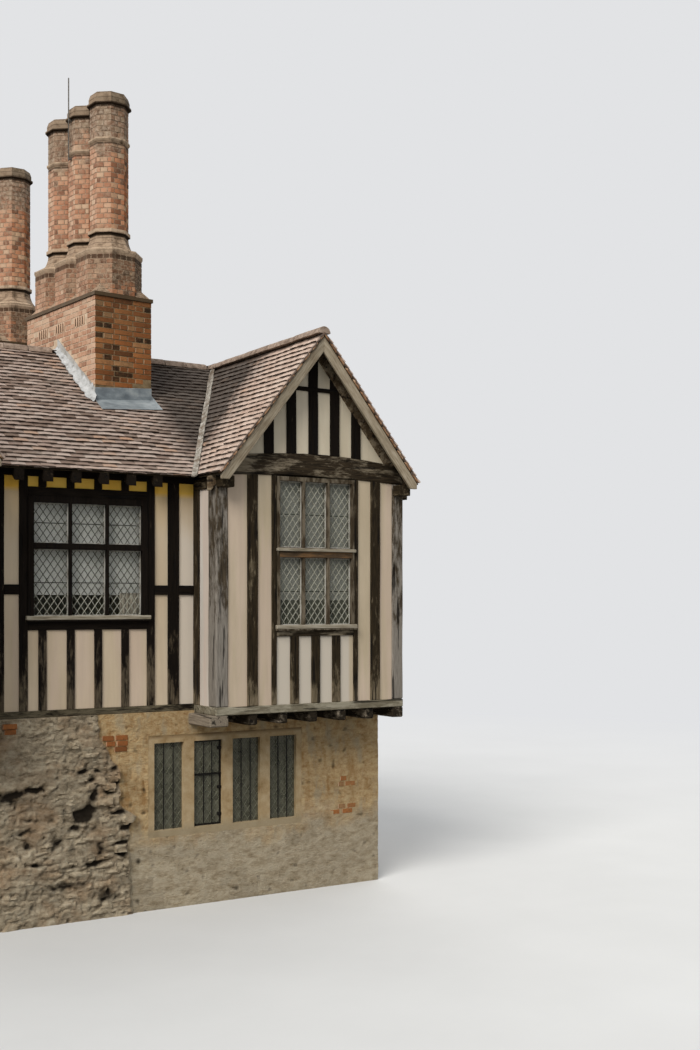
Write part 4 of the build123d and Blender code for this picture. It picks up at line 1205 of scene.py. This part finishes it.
def valley(foot, head):
    """The surface of the fillet from a valley's foot to its head."""
    sideways = (head - foot).cross(up).normalized() * valley_wide

    def surface(across, reach):
        ragged = 1 + 0.35 * noise.noise(Vector((reach * 14, across * 2, 1)))
        plan = foot + (head - foot) * (reach * 1.03 - 0.03) + sideways * (2 * across - 1) * ragged
        lift = 0.004 + 0.012 * (1 - (2 * across - 1) ** 2) + 0.005 * noise.noise(plan * 17)
        return Vector((plan.x, plan.y, roof_level(plan.x, plan.y) + lift))

    return surface


for hand, word in ((-1, "left"), (1, "right")):
    for side, place in ((-1, "front"), (1, "back")):
        run = valley(Vector((hand * valley_x, side * hall_run, 0)), Vector((hand * wing_mid, side * 0.06, 0)))
        fillet("valley_" + word + "_" + place, 60, 6, 0.016, lime.material, "roof_tile", run)

ridge_clay = Finish("ridge_tile", 0.9)
cloud = ridge_clay.noise(0.07, detail=9, rough=0.72)
tint = cloud.ramp((0.3, 84, 70, 60), (0.46, 142, 124, 110), (0.6, 178, 158, 142), (0.75, 158, 148, 134))
ridge_clay.relief(cloud, 0.004)
ridge_clay.paint(tint.shade(ridge_clay.tone(), 0.8, 1.1))
bpy.ops.object.select_all(action="DESELECT")
bpy.ops.mesh.primitive_cylinder_add(vertices=20, radius=ridge_radius, depth=ridge_piece - 0.008,
                                    rotation=(0, math.pi / 2, 0))
pattern_ridge = bpy.context.object
bpy.ops.object.transform_apply(location=True, rotation=True, scale=True)
with editing(pattern_ridge):
    bpy.ops.mesh.bisect(plane_co=(0, 0, 0), plane_no=(0, 0, -1), use_fill=True, clear_outer=True)
wear_edges(pattern_ridge, 0.004)
places, tones = [], []
for middle, along, length in ((east * -wing_mid, north, 2 * verge), (east * wing_mid, north, 2 * verge),
                              (east * 0, east, 2 * wing_mid - 0.2)):
    count = round(length / ridge_piece)
    for place in range(count):
        spot = middle + along * (length * ((place + 0.5) / count - 0.5))
        if in_stack(spot):
            continue
        spot.z = ridge_z - ridge_sink + random.uniform(-0.004, 0.004)
        turn = Matrix((along, up.cross(along), up)).transposed().to_4x4()
        skew = Matrix.Rotation(random.uniform(-0.02, 0.02), 4, "Z")
        rock = Matrix.Rotation(random.uniform(-0.015, 0.015), 4, "Y")
        size = Matrix.Diagonal((length / count / ridge_piece, 1, 1, 1))
        places.append(Matrix.Translation(spot) @ turn @ skew @ rock @ size)
        tones.append(random.random())
ridges = lay("ridge_half_rounds", pattern_ridge, places, tone=tones)
ready(ridges, ridge_clay.material, "roof_tile", "ridge_tiles")
discard(pattern_ridge)

# Chimneys: thin hand-made bricks in lime mortar, English bond on the stacks and header bricks round
# the eight-sided shafts, with moulded courses at the plinth, neck, collar and cap.
course_rise = 0.065
joint = 0.01
brick_deep = 0.105
brick_proud = 0.004
stretcher, header = 0.228, 0.114
ledge = 0.045
shaft_step = 0.6
shaft_first = 0.375
plinth_wide, plinth_high = 0.75, 0.5
shaft_wide, shaft_foot, shaft_head = 0.44, 0.85, 2.416
collar_rise, collar_head = 1.94, 1.995
stack_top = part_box("chimney_stack")[1].z
rear_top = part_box("rear_stack")[1].z
random.seed(23)


def above_top(finish):
    """Height above the stack's own top."""
    return finish.axis("Z") - finish.axis("Y").spread(wall_face - 0.1, wall_face - 0.05, stack_top, rear_top)


def band(value, low, high, soft=0.02):
    """One between two levels and nought outside them."""
    return value.spread(low - soft, low) * value.spread(high + soft, high)


brick = Finish("hand_made_brick", 0.9)
face = brick.noise(0.045, detail=8, rough=0.72)
soot = brick.noise(0.32, detail=7, rough=0.7)
blotch = brick.noise(0.028, (1, 1, 0.8), detail=8, rough=0.75, shift=4.0)
rise = above_top(brick)
# The left faces are painted buff and lighter and the others rust red: partly the bricks' own colour and
# partly painted light from the left. This goes by the normal on the stacks, and on the shafts by the warmth
# that each brick carries.
facing = brick.facing("X").spread(-0.4, -0.85, 1, 0.1)
on_shaft = rise.spread(-0.01, 0.01)
side_on = on_shaft * brick.tone("warmth") + (1.0 - on_shaft) * facing
deep_rust = brick.tone().ramp((0.0, 34, 25, 17), (0.16, 60, 42, 27), (0.26, 114, 70, 40), (0.55, 146, 90, 50),
                              (0.82, 162, 106, 62), (1.0, 150, 118, 84))
light_rust = brick.tone().ramp((0.0, 62, 44, 30), (0.14, 110, 68, 42), (0.3, 160, 92, 52),
                               (0.6, 180, 112, 68), (0.85, 190, 132, 92), (1.0, 178, 146, 112))
buff = brick.tone().ramp((0.0, 150, 106, 84), (0.25, 184, 137, 111), (0.6, 200, 157, 131),
                         (1.0, 214, 184, 158))
tint = side_on.mix(buff, rise.spread(-0.05, 0.3).mix(deep_rust, light_rust))
tint = face.spread(0.45, 0.62, 0, 0.45).mix(tint, side_on.mix((214, 186, 160), (112, 78, 50)))
tint = blotch.spread(0.44, 0.32, 0, 0.65).mix(tint, side_on.mix((150, 112, 88), (50, 36, 25)))
height = rise + soot.spread(0.3, 0.7, -0.35, 0.35)
upper = height.spread(collar_rise - 0.2, collar_rise + 0.15, 0, 0.7)
tint = upper.mix(tint, face.ramp((0.35, 62, 54, 43), (0.48, 124, 111, 94), (0.62, 170, 157, 140)))
plinth = height.spread(0.0, 0.2) * height.spread(0.95, 0.75) * side_on.spread(0.2, 0.8, 0.3, 0.85)
tint = plinth.mix(tint, face.ramp((0.35, 38, 31, 23), (0.5, 98, 84, 67), (0.64, 150, 136, 117)))
under_collar = band(rise, 1.915, 1.945, 0.01) * brick.axis("Y").spread(2.0, 1.9)
shadows = band(rise, 0.45, 0.5).most(under_collar.most(band(rise, 2.385, 2.42, 0.01)))
tint = (shadows * 0.75).mix(tint, (46, 35, 25))
rained = height.spread(-0.75, -0.1) * rise.spread(0.02, -0.02) * face.spread(0.38, 0.6, 0.65, 0.1)
brick.relief(face, 0.005)
brick.paint((rained * facing).mix(tint, (62, 49, 35)))

pointing = Finish("chimney_mortar", 0.95)
cloud = pointing.noise(0.1, detail=8)
# Painted light: the mortar on the left faces is much lighter than on the others.
turned = pointing.facing("X").spread(-0.5, -0.8)
tint = turned.mix(cloud.ramp((0.3, 90, 74, 52), (0.7, 146, 126, 96)),
                  cloud.ramp((0.3, 186, 160, 134), (0.7, 222, 202, 178)))
pointing.relief(cloud, 0.003)
# Painted shade: from the foot of the ledge at the stack's top upwards the mortar is darkened, for the shade
# under the ledge.
pointing.paint(above_top(pointing).spread(-0.055, -0.046, 0, 0.85).mix(tint, (66, 52, 38)))

moulded = Finish("moulded_brick", 0.9)
patch = moulded.noise(0.08, detail=9, rough=0.72)
rise = above_top(moulded)
tint = rise.spread(2.2, 2.0).mix(
    patch.ramp((0.3, 38, 31, 24), (0.43, 94, 80, 63), (0.56, 132, 115, 96), (0.75, 108, 102, 87)),
    patch.ramp((0.3, 54, 43, 33), (0.43, 122, 102, 82), (0.56, 166, 143, 120), (0.75, 142, 130, 111)))
# Painted light: the mouldings' left faces are mixed towards a pale buff.
tint = moulded.facing("X").spread(-0.1, -0.9, 0, 0.5).mix(tint, (174, 149, 126))
beds = moulded.axis("Z").math("DIVIDE", course_rise).math("FRACT").spread(0.84, 0.92, 0, 0.55)
shadows = band(rise, 0.77, 0.8, 0.01).most(band(rise, 2.41, 2.425, 0.01))
upper_rolls = band(rise, 0.82, 0.85, 0.01).most(band(rise, 1.96, 2.0, 0.01))
pale_rolls = band(rise, 0.515, 0.6, 0.015).most(upper_rolls)
tint = (pale_rolls * patch.spread(0.35, 0.55, 0.2, 0.75)).mix(tint, (196, 172, 146))
moulded.relief(patch - beds, 0.006)
moulded.paint(beds.most(shadows).mix(tint, (56, 44, 32)))

pattern_brick = bevelled_block("pattern_brick", 1, 1, 1, 0.035)


def brick_place(start, along, first, last, level, rise=course_rise, deep=brick_deep):
    """The place of one brick between two stations along a face."""
    outward = along.cross(up)
    proud = brick_proud - deep / 2 + random.uniform(-0.0015, 0.0015)
    middle = start + along * ((first + last) / 2) + outward * proud
    middle.z = level + rise / 2
    turn = Matrix((along, -outward, up)).transposed().to_4x4()
    rock = Matrix.Rotation(random.uniform(-0.006, 0.006), 4, "Y")
    return Matrix.Translation(middle) @ turn @ rock @ Matrix.Diagonal((last - first, deep, rise - joint, 1))


def stack_bricks(place, wide, long, foot, head, vents=()):
    """Rows of stretchers and of headers by turns round a stack: places and warmths."""
    bricks, warmths = [], []
    corners = [Vector((0, 0, 0)), Vector((wide, 0, 0)), Vector((wide, long, 0)), Vector((0, long, 0))]
    for course in range(int((head - foot) / course_rise)):
        level = head - (course + 1) * course_rise
        for number in range(4):
            start, end = corners[number], corners[(number + 1) % 4]
            along, length = (end - start).normalized(), (end - start).length
            over = (course + number) % 2 == 0
            first = -brick_proud if over else brick_deep + joint
            run = length - 2 * first
            count = max(1, round(run / (stretcher if over else header)))
            for piece in range(count):
                begin = first + piece * run / count + (joint / 2 if piece else 0)
                finish = first + (piece + 1) * run / count - (joint / 2 if piece < count - 1 else 0)
                middle = length - (begin + finish) / 2
                spot = place @ (start + along * (begin + finish) / 2)
                if vents and level + 0.014 < roof_level(spot.x, spot.y) + 0.15:
                    continue
                in_vent = any(left - 0.04 < middle < right + 0.04 and bottom < level + 0.03 < top
                              for left, right, bottom, top in vents)
                if number == 3 and in_vent:
                    continue
                bricks.append(place @ brick_place(start, along, begin, finish, level))
                warmths.append((1.0, 0.9, 0.7, 0.12)[number])
    return bricks, warmths


def shaft_bricks(place, across, low, high):
    """Header bricks round one eight-sided stretch, their joints broken from course to course."""
    bricks, warmths = [], []
    side = across * math.tan(math.radians(22.5))
    courses = round((high - low) / course_rise)
    rise = (high - low) / courses
    headers = max(1, round(side / 0.2)) * 2
    for course in range(courses):
        breaks = [step / headers for step in range(headers + 1)]
        if course % 2:
            breaks = [0] + [(step + 0.5) / headers for step in range(headers)] + [1]
        for number in range(8):
            angle = math.radians(45 * number)
            outward = Vector((math.cos(angle), math.sin(angle), 0))
            along = up.cross(outward)
            start = outward * across / 2 - along * side / 2
            for begin, end in zip(breaks, breaks[1:]):
                first = begin * side + (joint / 2 if begin else 0)
                last = end * side - (joint / 2 if end < 1 else 0)
                bricks.append(place @ brick_place(start, along, first, last, low + course * rise, rise, 0.05))
                # Painted light: a brick that faces to the left and back gets a low warmth, which paints it
                # buff and lighter.
                warmths.append(0.5 - 0.42 * outward.dot(Vector((-0.85, 0.5, 0))))
    return bricks, warmths


vent_wide, vent_middles = 0.25, (0.43, 0.97, 1.47)
vent_low, vent_high = stack_top - ledge - 5 * course_rise, stack_top - ledge - 3 * course_rise
vents = [(middle - vent_wide / 2, middle + vent_wide / 2, vent_low, vent_high) for middle in vent_middles]
main, main_warm = stack_bricks(stack_frame, stack_wide, stack_long, 5.9, stack_top - ledge, vents)
rear_middle = Vector(((rear_low.x + rear_high.x) / 2, rear_high.y - 0.02 - plinth_wide / 2, 0))
rear_frame = Matrix.Translation((rear_middle.x - plinth_wide / 2, wall_face, 0))
rear, rear_warm = stack_bricks(rear_frame, plinth_wide, rear_high.y - 0.02 - wall_face, 0.0, rear_top - ledge)
rear_warm = [0.3 + 0.6 * warmth for warmth in rear_warm]
shafts = [(stack_frame @ Matrix.Translation((stack_wide / 2, middle, stack_top)), True)
          for middle in (shaft_first, shaft_first + shaft_step, shaft_first + 2 * shaft_step)]
shafts.append((Matrix.Translation((rear_middle.x, rear_middle.y, rear_top)), False))
round_bricks, round_warm = [], []
for place, has_collar in shafts:
    runs = [(plinth_wide, 0.0, plinth_high), (shaft_wide, shaft_foot, shaft_head)]
    if has_collar:
        runs[1:] = [(shaft_wide, shaft_foot, collar_rise), (shaft_wide, collar_head, shaft_head)]
    for across, low, high in runs:
        made = shaft_bricks(place, across, low, high)
        round_bricks += made[0]
        round_warm += made[1]
for name, places, warmths in (("stack_bricks", main, main_warm), ("rear_stack_bricks", rear, rear_warm),
                              ("shaft_bricks", round_bricks, round_warm)):
    piece = lay(name, pattern_brick, places, tone=[random.random() for _ in places], warmth=warmths)
    ready(piece, brick.material, "brick")
for node, material in (("chimney_stack", pointing.material), ("rear_stack", pointing.material),
                       ("chimney_shafts", moulded.material), ("chimney_caps", moulded.material)):
    coat(nodes[node], material)

# Vents: three groups of upright bricks on end, high in the left face of the main stack; between them thin
# dark sheets on the stack's face stand in for the gaps as painted shade.
upright_bricks = 5
upright_half = 0.019
vent_places, slot_places = [], []
for low, high, foot, head in vents:
    for piece in range(upright_bricks):
        middle = low + piece * (high - low) / (upright_bricks - 1)
        vent_places.append(stack_frame @ bar((-0.006, middle - upright_half, foot + 0.004),
                                             (0.05, middle + upright_half, head - 0.004)))
    slot_places.append(stack_frame @ bar((-0.0015, low, foot + 0.01), (0.004, high, head - 0.01)))
total = len(vent_places)
upright = lay("vent_bricks", pattern_brick, vent_places, tone=[0.9] * total, warmth=[0.05] * total)
ready(upright, brick.material, "brick")
# Painted shade: a thin dark sheet in each vent, in place of an open gap.
vent_painted_shade = cloudy("vent_painted_shade", (0.95,), 0.001, {"size": 0.02, "detail": 4},
                  (0.3, 26, 21, 18), (0.7, 48, 38, 31))
ready(lay("vent_gaps", strip, slot_places), vent_painted_shade, "brick")

# Bricks let into the stone wall where it was mended: a few near the scar, and two older patches to the
# right worn back to the stone. Each brick is given as (x, level, length, how far it stands out).
patches, patch_tones = [], []
for x, level, length, proud in ((0.15, 1.993, 0.15, 0.014), (0.31, 1.993, 0.16, 0.014),
                                (0.2, 1.928, 0.12, 0.014), (0.33, 1.928, 0.14, 0.014),
                                (0.3, 1.863, 0.16, 0.014), (-1.01, 2.19, 0.17, 0.075),
                                (-0.99, 2.13, 0.14, 0.07), (3.33, 1.31, 0.1, 0.009),
                                (3.4, 1.24, 0.16, 0.009), (3.3, 1.24, 0.09, 0.009),
                                (3.3, 0.96, 0.12, 0.007), (3.43, 0.96, 0.14, 0.007),
                                (3.36, 0.895, 0.16, 0.007), (3.18, 0.895, 0.15, 0.007)):
    spot = brick_place(Vector((0, -wall_face, 0)), east, x, x + length - 0.012, level)
    patches.append(Matrix.Translation((0, -proud, 0)) @ spot)
    patch_tones.append(random.uniform(0.3, 0.75) if x < 1 else random.uniform(0.75, 1.0))
wall_patch = lay("wall_brick_patches", pattern_brick, patches, tone=patch_tones, warmth=[1.0] * len(patches))
ready(wall_patch, brick.material, "brick")
discard(pattern_brick)
discard(strip)

# Lead and lime round the main stack: a lead apron dressed over the tiles in front, and a whitened
# lime fillet down the left side from the ridge.
fillet_wide = 0.08
fillet_high = 0.12
fillet_start, fillet_long = -0.05, 1.12
lead = Finish("sheet_lead", 0.55, 0.0, 0.35)
cloud = lead.noise(0.12, (2, 1, 1), detail=7)
lead.relief(cloud, 0.006)
tint = lead.facing("Z").spread(0.4, 0.6).mix(
    cloud.ramp((0.3, 84, 92, 98), (0.5, 118, 127, 132), (0.7, 158, 165, 166)),
    cloud.ramp((0.3, 98, 105, 109), (0.5, 132, 139, 142), (0.7, 164, 169, 170)))
lead.paint(lead.facing("X").spread(-0.5, -0.8).mix(
    tint, cloud.ramp((0.3, 138, 136, 130), (0.5, 182, 180, 175), (0.7, 200, 199, 196))))
coat(nodes["stack_flashing"], lead.material)
white_lime = cloudy("whitened_lime", (0.92,), 0.004, {"size": 0.07, "detail": 8, "rough": 0.7},
                    (0.3, 128, 127, 124), (0.45, 176, 177, 176), (0.65, 200, 201, 201))


def stack_fillet(across, reach):
    """The surface of the lime fillet against the stack's left face."""
    ragged = 1.2 - 0.6 * reach + 0.5 * noise.noise(Vector((reach * 16, 2 * across, 4)))
    ragged *= min(1.0, 0.5 + 6 * reach)
    out = fillet_wide * across ** 1.2 * ragged + 0.006
    plan = stack_frame @ Vector((-out, fillet_start + reach * fillet_long, 0))
    lift = fillet_high * (1 - across) ** 1.5 * ragged * (1 - 0.35 * reach) + 0.006
    lift += 0.003 * noise.noise(plan * 19)
    return Vector((plan.x, plan.y, roof_level(plan.x, plan.y) + lift))


fillet("stack_lime_fillet", 70, 8, 0.01, white_lime, "plaster", stack_fillet)

low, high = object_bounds()
{"cad": [list(cad_low), list(cad_high)], "visual": [list(low), list(high)]}
